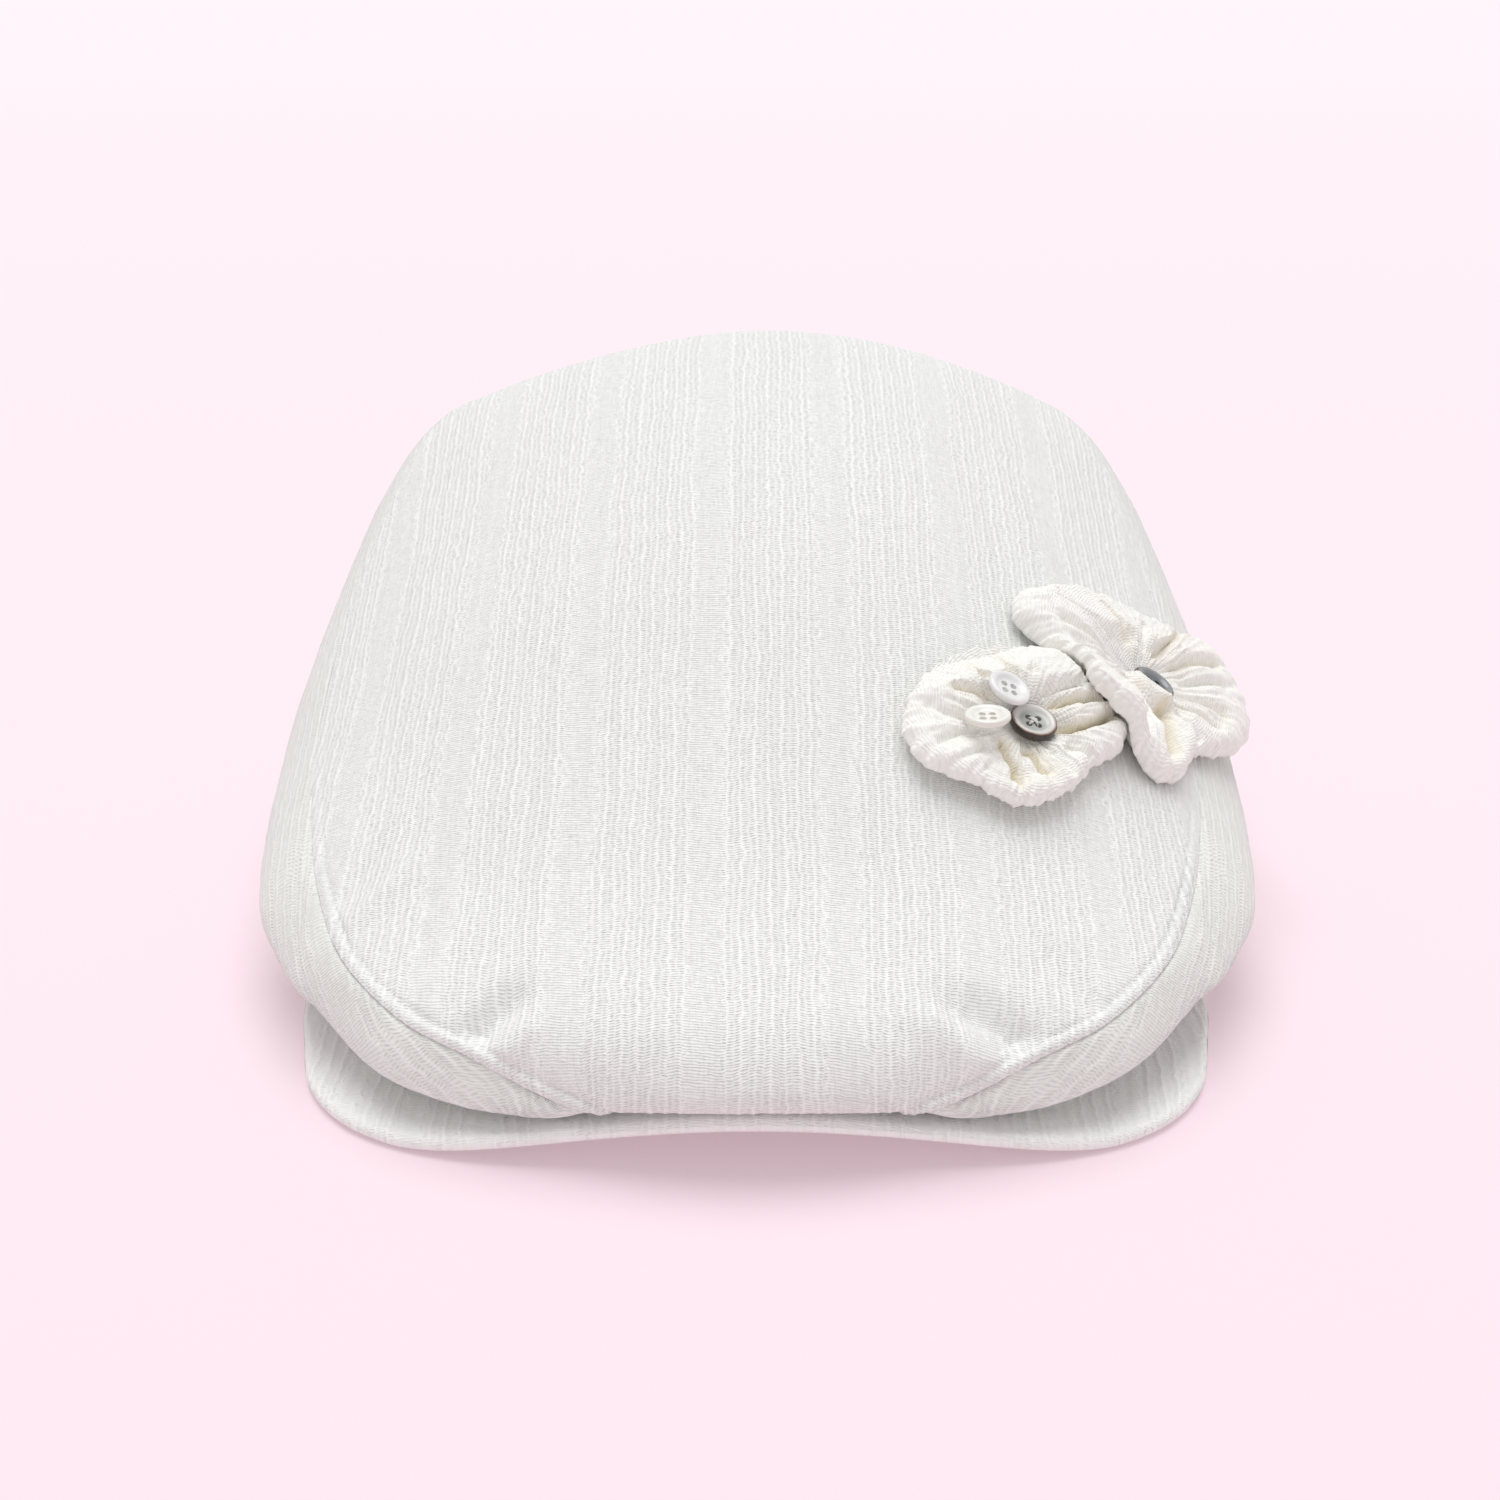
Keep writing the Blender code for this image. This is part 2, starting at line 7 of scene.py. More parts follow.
import logging
import math
from dataclasses import dataclass, fields
from enum import Enum
from typing import Any, NamedTuple, Sequence

import bmesh
import bpy
import numpy as np
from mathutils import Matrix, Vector
from mathutils.bvhtree import BVHTree
from mathutils.kdtree import KDTree


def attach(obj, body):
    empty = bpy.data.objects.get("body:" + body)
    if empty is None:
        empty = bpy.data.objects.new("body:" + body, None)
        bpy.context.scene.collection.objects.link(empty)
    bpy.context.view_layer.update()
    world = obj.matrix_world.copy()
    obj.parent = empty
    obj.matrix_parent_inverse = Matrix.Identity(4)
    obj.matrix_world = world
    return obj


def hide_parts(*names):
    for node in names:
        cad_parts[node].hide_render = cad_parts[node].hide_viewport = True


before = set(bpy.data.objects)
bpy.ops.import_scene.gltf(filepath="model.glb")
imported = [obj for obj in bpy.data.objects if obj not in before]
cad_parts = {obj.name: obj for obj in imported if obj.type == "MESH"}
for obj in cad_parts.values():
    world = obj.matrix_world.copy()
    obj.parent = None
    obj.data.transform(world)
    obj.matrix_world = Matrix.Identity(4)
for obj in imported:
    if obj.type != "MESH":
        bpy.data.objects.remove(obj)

log = logging.getLogger("flat_cap")
Array = np.ndarray
MM = 0.001
TURN = 2 * math.pi
MIDDLE = np.array([1.5, 125.8, 0.0])     # middle of the cap's base, from the crown's middle at its fold
HEAD_WIDTH = 168.0
HEAD_LENGTH = 196.0
RIM_CENTRE_Y = 147.0
CLOTH = 2.0
GAP = 0.3
WALL = 1.6                               # thickness of a dressed panel
INNER_STEPS = (4, 6)                     # a panel's inner face keeps every fourth row and sixth column
FAR = 99.0                               # distance from a seam where there is none
RELIEF_VALUES = ("rib_u", "rib_v", "relief", "seam", "seam_s", "sewn")


class Section(NamedTuple):
    """One section across the crown: its middle, its seam, the widest point below it, its rim angle."""

    centre_y: float
    centre_z: float
    seam_x: float
    seam_y: float
    seam_z: float
    wide_x: float
    wide_y: float
    wide_z: float
    rim_deg: float


SECTIONS = tuple(Section(*row) for row in (
    (46.8, 12.7, 22.0, 49.6, 11.7, 23.5, 49.2, 11.3, 16.5),
    (26.0, 12.6, 24.0, 27.5, 11.6, 26.5, 30.0, 11.1, 24.0),
    (6.0, 12.4, 27.5, 8.0, 11.6, 31.0, 14.0, 10.9, 30.0),
    (-2.0, 16.6, 32.0, 3.0, 12.9, 35.0, 4.6, 11.0, 34.0),
    (0.0, 22.6, 41.0, 5.0, 15.6, 43.5, 4.2, 12.6, 39.0),
    (6.0, 28.2, 54.0, 9.8, 20.5, 58.0, 8.7, 12.0, 45.0),
    (14.0, 32.0, 68.0, 18.0, 23.5, 73.0, 16.6, 14.0, 52.0),
    (25.0, 36.5, 81.0, 33.0, 27.0, 87.5, 34.0, 17.2, 60.0),
    (40.0, 43.2, 88.0, 49.0, 29.8, 95.6, 46.0, 17.0, 67.0),
    (60.0, 54.4, 93.5, 69.0, 33.5, 105.6, 68.0, 18.6, 75.0),
    (82.0, 67.4, 97.0, 92.0, 39.5, 109.0, 92.0, 24.5, 84.0),
    (106.0, 81.0, 98.5, 116.0, 47.0, 110.5, 117.0, 26.5, 94.0),
    (132.0, 92.2, 96.5, 141.0, 58.0, 110.0, 143.0, 29.5, 104.0),
    (160.0, 101.0, 92.5, 167.0, 69.5, 106.5, 170.0, 33.0, 114.0),
    (187.0, 106.2, 87.0, 191.0, 80.5, 100.0, 196.0, 37.0, 124.0),
    (208.0, 108.0, 79.5, 211.0, 87.5, 90.0, 219.0, 41.0, 134.0),
    (227.0, 104.6, 67.0, 227.0, 88.0, 77.0, 235.5, 44.0, 144.0),
    (240.0, 95.0, 52.0, 237.0, 87.5, 59.5, 245.5, 46.0, 153.0),
    (246.5, 84.0, 38.0, 242.0, 83.0, 43.5, 250.0, 47.0, 161.0),
))
LAST = len(SECTIONS) - 1


class Fold(NamedTuple):
    """A long dent of the cloth, or with a negative depth a fold that stands up."""

    x: float
    y: float
    length: float
    width: float
    turn: float
    depth: float

    def dent(self, points: Array) -> Array:
        """How deep the fold presses in at each point.

        Args:
            points: Points in millimetres.

        Returns:
            Depths in millimetres.
        """
        cos, sin = math.cos(math.radians(self.turn)), math.sin(math.radians(self.turn))
        x, y = points[..., 0] - self.x, points[..., 1] - self.y
        along, aside = 2 * (x * cos + y * sin) / self.length, 2 * (y * cos - x * sin) / self.width
        return self.depth * np.exp(-along ** 4 - aside ** 2)


TOP_FOLDS = tuple(Fold(*row) for row in (
    (-52.0, 13.2, 19.0, 6.6, 36.0, 3.6), (-47.0, 8.8, 18.0, 4.6, 22.0, -1.2), (46.0, 12.2, 20.0, 7.6, 160.0, 3.3),
    (37.5, 8.2, 20.0, 6.0, 158.0, -1.3), (-77.0, 47.0, 24.0, 6.0, 45.0, -1.2), (-82.0, 55.0, 20.0, 4.0, 52.0, 0.8),
    (-60.0, 28.0, 30.0, 8.0, 60.0, -0.7), (62.0, 22.0, 22.0, 7.0, 140.0, 0.8), (52.0, 145.0, 38.0, 6.0, 108.0, 0.6),
    (63.0, 139.0, 34.0, 5.0, 112.0, -0.6), (30.0, 60.0, 50.0, 14.0, 80.0, 0.4), (-20.0, 90.0, 80.0, 16.0, 92.0, 0.4),
))


def curve(start: Any, end: Any, slopes: Sequence[Any], step: Any, t: Any) -> Array:
    """Smooth curve from one value to the next.

    Args:
        start: The value at t 0.
        end: The value at t 1.
        slopes: The slopes at the two.
        step: The distance between the two.
        t: Share of that distance.

    Returns:
        The value at t.
    """
    first = start * (1 + 2 * t) + step * t * slopes[0]
    last = end * (3 - 2 * t) - step * (1 - t) * slopes[1]
    return first * (1 - t) ** 2 + last * t ** 2


def spline(knots: Any, values: Any, at: Any) -> Array:
    """Read a smooth curve through table values.

    Args:
        knots: Places of the table values, rising.
        values: The table values.
        at: Places to read.

    Returns:
        The curve's values at those places.
    """
    knots, values, at = (np.asarray(x, float) for x in (knots, values, at))
    steps = np.diff(knots)
    slopes = np.diff(values) / steps
    inner = (slopes[1:] * steps[:-1] + slopes[:-1] * steps[1:]) / (steps[:-1] + steps[1:])
    tangents = np.array([1.5 * slopes[0] - 0.5 * inner[0], *inner, 1.5 * slopes[-1] - 0.5 * inner[-1]])
    i = np.clip(np.searchsorted(knots, at, side="right") - 1, 0, len(steps) - 1)
    return curve(values[i], values[i + 1], (tangents[i], tangents[i + 1]), steps[i], (at - knots[i]) / steps[i])


def unit(vectors: Array) -> Array:
    """The vectors at length one."""
    return vectors / np.maximum(np.linalg.norm(vectors, axis=-1, keepdims=True), 1e-12)


def smooth(low: float, high: float, x: Array) -> Array:
    """Soft step from 0 at low to 1 at high."""
    t = np.clip((x - low) / (high - low), 0, 1)
    return t * t * (3 - 2 * t)


def lengths(points: Array, axis: int) -> Array:
    """Distance walked along one axis of a grid of points, from its first point."""
    steps = np.linalg.norm(np.diff(points, axis=axis), axis=-1)
    return np.pad(np.cumsum(steps, axis=axis), [(int(i == axis), 0) for i in range(steps.ndim)])


def outward(grid: Array) -> Array:
    """Directions square to a grid of points, at each point."""
    return unit(np.cross(np.gradient(grid, axis=1), np.gradient(grid, axis=0)))


def stations(*runs: tuple[float, float, int]) -> Array:
    """Places in runs of a start, an end and a count, each run starting where the last one ends."""
    return np.concatenate([np.linspace(*run)[min(i, 1):] for i, run in enumerate(runs)])


def circle(count: int) -> Array:
    """Angles of points spaced evenly round a circle."""
    return np.arange(count) * TURN / count


@dataclass(frozen=True)
class CrownForm:
    """The shape rule of the crown, which the panels, seams and flowers all read."""

    back_bulge: float = 3.5
    left_bulge: float = 1.1
    lift_rows: tuple[float, ...] = (3.5, 5, 6, 7, 9)
    left_lifts: tuple[float, ...] = (0, 1.0, 4.9, 5.4, 0)
    crest_shift: float = 0.05
    square_rows: tuple[float, ...] = (0, 4, 9, 13, LAST)
    squareness: tuple[float, ...] = (2.0, 2.2, 2.3, 1.9, 1.9)
    peak_arch: float = 8.8
    peak_half: float = 70.0
    peak_thick: float = 3.0
    peak_clear: float = 0.5
    peak_ends: tuple[float, float] = (68.0, 82.0)
    peak_past: float = 88.0
    tuck: tuple[float, float, float] = (0.32, 0.32, 0.68)

    def column(self, name: str, row: Any) -> Array:
        """One column of the section table, read at any place between its rows."""
        return spline(range(len(SECTIONS)), [getattr(section, name) for section in SECTIONS], row)

    def top(self, row: Array, across: Array) -> Array:
        """Points of the top panel's outer face.

        Args:
            row: Place along the crown, 0 at the front rim and LAST at the back.
            across: -1 at the wearer's right seam to 1 at the left one.

        Returns:
            Points in millimetres.
        """
        shift = self.crest_shift * np.interp(row, [6, 12, LAST], [0, 1, 1])
        q = np.abs(across - shift * (1 - across ** 2))
        power = np.interp(row, self.square_rows, self.squareness)
        x, (y, z) = across * self.column("seam_x", row), (self.column(name, row) for name in ("centre_y", "centre_z"))
        return np.stack([x, y + (self.column("seam_y", row) - y) * q ** 2,
                         z + (self.column("seam_z", row) - z) * q ** power], -1)

    def seam(self, sign: float, count: int = 900) -> Array:
        """A seam between top and side, sign 1 for the wearer's left, going on to the middle of the back."""
        row = np.linspace(0, LAST + 1, count)
        return self.top(np.minimum(row, LAST), sign * (1 - np.clip(row - LAST, 0, 1)))

    def peak_floor(self, x: Array) -> Array:
        """Height of the peak's underside, arched in the middle."""
        return self.peak_arch * np.clip(1 - (x / self.peak_half) ** 2, 0, None) ** 1.6

    def peak_top(self, x: Array) -> Array:
        """Height just clear of the peak's upper side."""
        return self.peak_floor(x) + self.peak_thick + self.peak_clear

    def rim(self, degrees: Array, inset: float = 0.0) -> Array:
        """Points on the rim's outer edge, or inset from it, raised over the peak at the front.

        Args:
            degrees: Angles from the middle of the front.
            inset: Distance inward from the outer edge.

        Returns:
            Points in millimetres.
        """
        angle = np.radians(degrees)
        x = (HEAD_WIDTH / 2 + CLOTH - inset) * np.sin(angle)
        y = RIM_CENTRE_Y - (HEAD_LENGTH / 2 + CLOTH - inset) * np.cos(angle)
        return np.stack([x, y, (1 - smooth(*self.peak_ends, degrees)) * self.peak_top(x)], -1)

    def side(self, row: Array, down: Array, left: bool) -> Array:
        """Points of a side panel's outer face.

        Args:
            row: Place along the crown, going on past LAST round the back to LAST + 1 at its middle.
            down: 0 at the seam to 1 at the rim.
            left: True for the wearer's left panel.

        Returns:
            Points in millimetres.
        """
        row, down = np.broadcast_arrays(np.asarray(row, float), np.asarray(down, float))
        along, back = np.minimum(row, LAST), np.clip(row - LAST, 0, 1)
        lead = self.top(along - 0.6 * back, (1 - back) * 0.9)
        wide = np.stack([self.column(name, along) for name in ("wide_x", "wide_y", "wide_z")], -1)
        wide[..., 0] *= 1 - back
        wide[..., 1] += self.back_bulge * (1 - (1 - back) ** 2)
        rim_deg = self.column("rim_deg", along)
        rim = self.rim(rim_deg + back * (180 - SECTIONS[-1].rim_deg))
        points = [lead, self.top(along, 1 - back), wide, wide + (rim - wide) * self.tuck, rim]
        gaps = [np.linalg.norm(b - a, axis=-1) for a, b in zip(points, points[1:])]
        total = sum(gaps[1:])
        places = [-gaps[0] / total, 0 * total, gaps[1] / total, 1 - gaps[3] / total, 1 + 0 * total]
        steps = [(b - a)[..., None] for a, b in zip(places, places[1:])]
        slopes = [(b - a) / step for a, b, step in zip(points, points[1:], steps)]
        tangents = [(slopes[i + 1] * steps[i] + slopes[i] * steps[i + 1]) / (steps[i] + steps[i + 1])
                    for i in range(3)]
        tangents.append(1.5 * slopes[3] - 0.5 * tangents[2])
        result = np.zeros(row.shape + (3,))
        for i in range(3):
            t = (down - places[i + 1])[..., None] / steps[i + 1]
            inside = ((t >= 0) | (i == 0)) & ((t < 1) | (i == 2))
            piece = curve(points[i + 1], points[i + 2], tangents[i:i + 2], steps[i + 1], t)
            result = np.where(inside, piece, result)
        floor = np.where(rim_deg < self.peak_past, self.peak_top(result[..., 0]), 0)
        result[..., 2] = np.maximum(result[..., 2], floor)
        if left:
            belly = np.sin(np.pi * down) ** 2
            result[..., 0] += self.left_bulge * np.interp(row, [4, 7, 12, 15], [0, 1, 1, 0]) * belly
            result[..., 2] += np.interp(row, self.lift_rows, self.left_lifts) * belly
        else:
            result[..., 0] *= -1
        return result


def linear(code: str) -> tuple[float, float, float, float]:
    """Turn an sRGB hex value into a linear colour with its alpha."""
    parts = [int(code[i:i + 2], 16) / 255 for i in (0, 2, 4)]
    return (*[c / 12.92 if c <= 0.04045 else ((c + 0.055) / 1.055) ** 2.4 for c in parts], 1.0)


def fill(node: bpy.types.Node, inputs: dict[Any, Any]) -> bpy.types.Node:
    """Fill or link a node's inputs.

    Args:
        node: The node.
        inputs: Input name or number, and a value, a socket or a term.

    Returns:
        The same node.
    """
    for key, value in inputs.items():
        value = getattr(value, "socket", value)
        if isinstance(value, bpy.types.NodeSocket):
            node.id_data.links.new(value, node.inputs[key])
        else:
            node.inputs[key].default_value = value
    return node


def add(tree: bpy.types.NodeTree, kind: str, inputs: dict[Any, Any] | None = None, **settings: Any) -> bpy.types.Node:
    """Add a node with its settings, and fill or link its inputs.

    Args:
        tree: The node tree.
        kind: The node's type name.
        inputs: Input name or number, and a value, a socket or a term.
        **settings: Properties of the node.

    Returns:
        The new node.
    """
    node = tree.nodes.new(kind)
    for name, value in settings.items():
        setattr(node, name, value)
    return fill(node, inputs or {})


class Term:
    """One output of a node, which stands in a sum as a number does."""

    def __init__(self, tree: bpy.types.NodeTree, socket: bpy.types.NodeSocket) -> None:
        """Keep the tree and the socket."""
        self.tree, self.socket = tree, socket

    def into(self, kind: str, inputs: dict[Any, Any] | None = None, output: Any = 0, **settings: Any) -> "Term":
        """Lead this term into the first input of a new node, and take one of the node's outputs."""
        return term(self.tree, kind, {0: self, **(inputs or {})}, output, **settings)

    def __add__(self, other: Any) -> "Term":
        """The sum."""
        return self.into("ShaderNodeMath", {1: other}, operation="ADD")

    def __sub__(self, other: Any) -> "Term":
        """The difference."""
        return self.into("ShaderNodeMath", {1: other}, operation="SUBTRACT")

    def __mul__(self, other: Any) -> "Term":
        """The product."""
        return self.into("ShaderNodeMath", {1: other}, operation="MULTIPLY")

    def __truediv__(self, other: Any) -> "Term":
        """The quotient."""
        return self.into("ShaderNodeMath", {1: other}, operation="DIVIDE")

    def __pow__(self, other: Any) -> "Term":
        """The power."""
        return self.into("ShaderNodeMath", {1: other}, operation="POWER")

    def wave(self, operation: str = "SINE") -> "Term":
        """A wave of this angle, between 0 and 1."""
        return self.into("ShaderNodeMath", operation=operation) * 0.5 + 0.5

    def bell(self, sharpness: float) -> "Term":
        """1 where this term is 0, falling off on both sides."""
        return ((self * sharpness) ** 2.0 * -1.0).into("ShaderNodeMath", operation="EXPONENT")


def term(tree: bpy.types.NodeTree, kind: str, inputs: dict[Any, Any] | None = None, output: Any = 0,
         **settings: Any) -> Term:
    """Add a node and take one of its outputs, the first if none is named."""
    return Term(tree, add(tree, kind, inputs, **settings).outputs[output])


def graded(ramp: bpy.types.Node, *stops: tuple[float, str]) -> Term:
    """Give a colour ramp its stops.

    Args:
        ramp: The ramp's node.
        *stops: Positions and sRGB hex values.

    Returns:
        The ramp's colour.
    """
    elements = ramp.color_ramp.elements
    for i, (position, code) in enumerate(stops):
        element = elements[i] if i < 2 else elements.new(position)
        element.position, element.color = position, linear(code)
    return Term(ramp.id_data, ramp.outputs[0])


class Weave:
    """Noise and ladder bands laid over the cloth, which its relief and its finish read alike.

    U runs across the ribs and V along them, in millimetres of cloth.
    """

    sway = 2.6
    ragged = 3.0

    def __init__(self, u: Term, v: Term, seed: Any) -> None:
        """Keep the flat pattern's coordinates, and let the ribs sway a little to both sides."""
        self.flat, self.seed = (u, v), seed
        self.u, self.v = u + self.noise(0.09, 0.035) * self.sway, v

    def noise(self, u_scale: float, v_scale: float, detail: float = 1.0) -> Term:
        """Noise about zero, with the given features to the millimetre each way."""
        u, v = self.flat
        spot = term(u.tree, "ShaderNodeCombineXYZ", {0: u * u_scale, 1: v * v_scale, 2: self.seed})
        return term(u.tree, "ShaderNodeTexNoise", {"Vector": spot, "Scale": 1.0, "Detail": detail}) - 0.5

    def bands(self, repeat: Any, width: Any, offset: Any) -> tuple[Term, Term]:
        """Find the ladder bands.

        Args:
            repeat: Distance from one to the next.
            width: Their width.
            offset: Place of one of them.

        Returns:
            Distance from the middle of the nearest band, and how far inside its wavy edge that is.
        """
        half = repeat * 0.5
        local = (self.u - offset).into("ShaderNodeMath", {1: half, 2: half * -1.0}, operation="WRAP")
        away = local.into("ShaderNodeMath", operation="ABSOLUTE")
        return local, self.noise(0.16, 0.11) * self.ragged + width * 0.5 - away


@dataclass(frozen=True)
class Finish:
    """A finish, named for the real material and its make."""

    name: str

    def material(self) -> bpy.types.Material:
        """Build the node material.

        Returns:
            The material.
        """
        material = bpy.data.materials.new(self.name)
        material.use_nodes = True
        material.cycles.emission_sampling = "NONE"
        self.paint(material.node_tree, material.node_tree.nodes["Principled BSDF"])
        return material

    def paint(self, tree: bpy.types.NodeTree, shader: bpy.types.Node) -> None:
        """Add the finish's own nodes and fill the shader's inputs."""
        raise NotImplementedError


@dataclass(frozen=True)
class CrinkledCotton(Finish):
    """Crinkled cotton, woven with slack zigzag ribs and flat ladder bands: matte, rough and softly striped.

    Lengths are millimetres of cloth and are read from the UV map named cloth. The real weft threads lie
    0.47 mm apart, too fine to show, so the rungs are drawn coarser.
    """

    name: str = "crinkled cotton, woven"
    light: str = "FBFCFA"
    shade: str = "D2D3CF"
    # Painted shade: the warm darker tone laid into deep creases where the crease attribute is set.
    crevice: str = "CFCBC6"
    wale: float = 1.4
    slant: float = 0.35
    stripe: float = 0.25
    line: float = 0.22
    gap_depth: float = 0.46
    band_repeat: float = 27.0
    band_width: float = 7.5
    band_offset: float = -10.0
    rung: float = 0.56
    relief: float = 0.30
    seed: float = 3.0

    def paint(self, tree: bpy.types.NodeTree, shader: bpy.types.Node) -> None:
        """Draw the wales, their rungs, the ladder bands, the raised lines between them and the grain, with painted
        shade in the gaps and painted highlight on the lines.
        """
        cloth = term(tree, "ShaderNodeUVMap", uv_map="cloth")
        place = [cloth.into("ShaderNodeSeparateXYZ", output=axis) for axis in "XY"]
        weave = Weave(place[0], place[1], self.seed)
        v = weave.v + weave.noise(0.5, 0.9) * 0.6
        local, inside = weave.bands(self.band_repeat, self.band_width, self.band_offset)
        inside = inside + (v * (TURN / 4.4) + local * 0.5).into("ShaderNodeMath", operation="SINE") * 0.4
        band = inside.into("ShaderNodeMapRange", {1: -0.25, 2: 0.25}, interpolation_type="SMOOTHSTEP")

        # Each wale has its own phase, so that the rungs of two neighbours never line up.
        column = (weave.u + weave.noise(0.22, 0.36) * 1.5) / self.wale
        part = column.into("ShaderNodeMath", operation="FRACT")
        cell = column.into("ShaderNodeMath", operation="FLOOR")
        phase = term(tree, "ShaderNodeTexWhiteNoise", {"W": cell}, noise_dimensions="1D")
        lean = (phase - 0.5) * (part * (2 * self.slant))
        swell = (part * math.pi).into("ShaderNodeMath", operation="SINE")
        gaps = (((v + lean) / self.rung + phase) * TURN).wave() ** 1.7 * swell ** 0.6
        ladder = ((v + local * 0.12) * (TURN / self.rung)).wave() ** 1.7 * 0.75
        rungs = band.into("ShaderNodeMix", {2: gaps, 3: ladder}, data_type="FLOAT")
        rungs = rungs * ((weave.noise(0.9, 1.6) * 1.5 + 0.9) * -self.gap_depth)
        # Raised lines run between the wales, and along the bands' wavy edges.
        line = (column * math.pi).wave("COSINE") ** 3.0 * (band * -0.7 + 1.0)
        bright = line.into("ShaderNodeMath", {1: inside.bell(2.4)}, operation="MAXIMUM")
        height = rungs + bright * self.line + 0.68
        bump = term(tree, "ShaderNodeBump", {"Height": height, "Distance": self.relief * MM, "Strength": 1.0})

        grain = weave.noise(2.6, 2.6) * 0.4 + weave.noise(1.8, 0.2) * 0.7 + weave.noise(0.35, 0.012) * self.stripe
        # The tone follows the relief: painted shade in the rung gaps and painted highlight on the raised lines, over
        # the cloth's random grain and faint stripes.
        tone = (height + grain).into("ShaderNodeMapRange", {1: -0.2, 2: 0.95})
        colour = tone.into("ShaderNodeMix", {6: linear(self.shade), 7: linear(self.light)}, 2, data_type="RGBA")
        # Painted shade in the creases: the crease attribute mixes in the crevice colour.
        crease = term(tree, "ShaderNodeAttribute", output="Fac", attribute_name="crease")
        colour = crease.into("ShaderNodeMix", {6: colour, 7: linear(self.crevice)}, 2, data_type="RGBA")
        fill(shader, {"Base Color": colour, "Normal": bump, "Roughness": 0.92,
                      "Sheen Weight": 0.2, "Sheen Roughness": 0.5, "IOR": 1.45, "Specular IOR Level": 0.25})


@dataclass(frozen=True)
class TurnedResin(Finish):
    """Cast resin, turned into buttons and polished: glossy, with a rim that differs from its dished face.

    The share of the button's radius is read from the UV map named turned.
    """

    face: str
    rim: str
    glow: str
    edge: str
    roughness: float = 0.22
    transmission: float = 0.0
    ior: float = 1.54

    def paint(self, tree: bpy.types.NodeTree, shader: bpy.types.Node) -> None:
        """Colour the face, rim and edge, with a faint cloud in the resin."""
        spot = term(tree, "ShaderNodeTexCoord", output="Object")
        cloud = spot.into("ShaderNodeTexNoise", {"Scale": 420.0, "Detail": 3.0})
        radius = term(tree, "ShaderNodeUVMap", uv_map="turned").into("ShaderNodeSeparateXYZ") + cloud * 0.06
        ramp = add(tree, "ShaderNodeValToRGB", {0: radius})
        colour = graded(ramp, (0.56, self.face), (0.72, self.rim), (0.88, self.rim), (0.95, self.glow),
                        (1.0, self.edge))
        bump = term(tree, "ShaderNodeBump", {"Height": cloud, "Distance": 0.03 * MM, "Strength": 0.5})
        fill(shader, {"Base Color": colour, "Normal": bump, "Roughness": self.roughness, "IOR": self.ior,
                      "Transmission Weight": self.transmission, "Coat Weight": 0.3, "Coat Roughness": 0.1})


@dataclass(frozen=True)
class SpunThread(Finish):
    """Spun cotton thread: matte, with a fine twist."""

    name: str = "cotton thread, spun"
    colour: str = "F4F2EE"
    shade: str = "CBC7BF"
    twist: float = 0.5

    def paint(self, tree: bpy.types.NodeTree, shader: bpy.types.Node) -> None:
        """Draw the twist as slanted waves."""
        spot = term(tree, "ShaderNodeTexCoord", output="Object")
        wave = term(tree, "ShaderNodeTexWave", {"Vector": spot, "Scale": 1 / (self.twist * MM) / 3, "Distortion": 2.0},
                    output="Fac", bands_direction="DIAGONAL")
        colour = wave.into("ShaderNodeMix", {6: linear(self.shade), 7: linear(self.colour)}, 2, data_type="RGBA")
        fill(shader, {"Base Color": colour,
                      "Normal": term(tree, "ShaderNodeBump", {"Height": wave, "Distance": 0.05 * MM}),
                      "Roughness": 0.85, "Sheen Weight": 0.2})


@dataclass(frozen=True)
class PaintedFloor(Finish):
    """Matte painted studio floor: pale pink, a shade deeper in front, with a very slight mottle."""

    name: str = "studio paint, rolled"
    near: str = "DCC8CF"
    middle: str = "DDCCD3"
    far: str = "DDD2D7"
    glow: float = 0.30

    def paint(self, tree: bpy.types.NodeTree, shader: bpy.types.Node) -> None:
        """Shade the floor from front to back."""
        spot = term(tree, "ShaderNodeTexCoord", output="Object")
        cloud = spot.into("ShaderNodeTexNoise", {"Scale": 1.5, "Detail": 1.0})
        away = spot.into("ShaderNodeSeparateXYZ", output="Y") + cloud * 0.05
        share = away.into("ShaderNodeMapRange", {1: -0.25, 2: 1.5})
        colour = graded(add(tree, "ShaderNodeValToRGB", {0: share}), (0.0, self.near), (1.0, self.far),
                        (0.18, self.middle))
        fill(shader, {"Base Color": colour, "Emission Color": colour, "Emission Strength": self.glow,
                      "Roughness": 0.95, "Specular IOR Level": 0.1})


@dataclass(frozen=True)
class LitPaper(Finish):
    """Backdrop paper, lit evenly: pale pink, with hardly a cloud."""

    name: str = "backdrop paper, lit evenly"
    paper: str = "FFF3F9"
    pale: str = "FFF6FB"

    def paint(self, tree: bpy.types.NodeTree, shader: bpy.types.Node) -> None:
        """Let the paper glow, and reflect nothing."""
        spot = term(tree, "ShaderNodeTexCoord", output="Object")
        cloud = spot.into("ShaderNodeTexNoise", {"Scale": 0.4, "Detail": 1.0})
        colour = cloud.into("ShaderNodeMix", {6: linear(self.paper), 7: linear(self.pale)}, 2, data_type="RGBA")
        fill(shader, {"Emission Color": colour,
                      "Emission Strength": 1.0, "Base Color": (0.0, 0.0, 0.0, 1.0), "Specular IOR Level": 0.0})


def placed(name: str, data: Any) -> bpy.types.Object:
    """Put a mesh, lamp or camera in the scene as an object."""
    item = bpy.data.objects.new(name, data)
    bpy.context.scene.collection.objects.link(item)
    return item


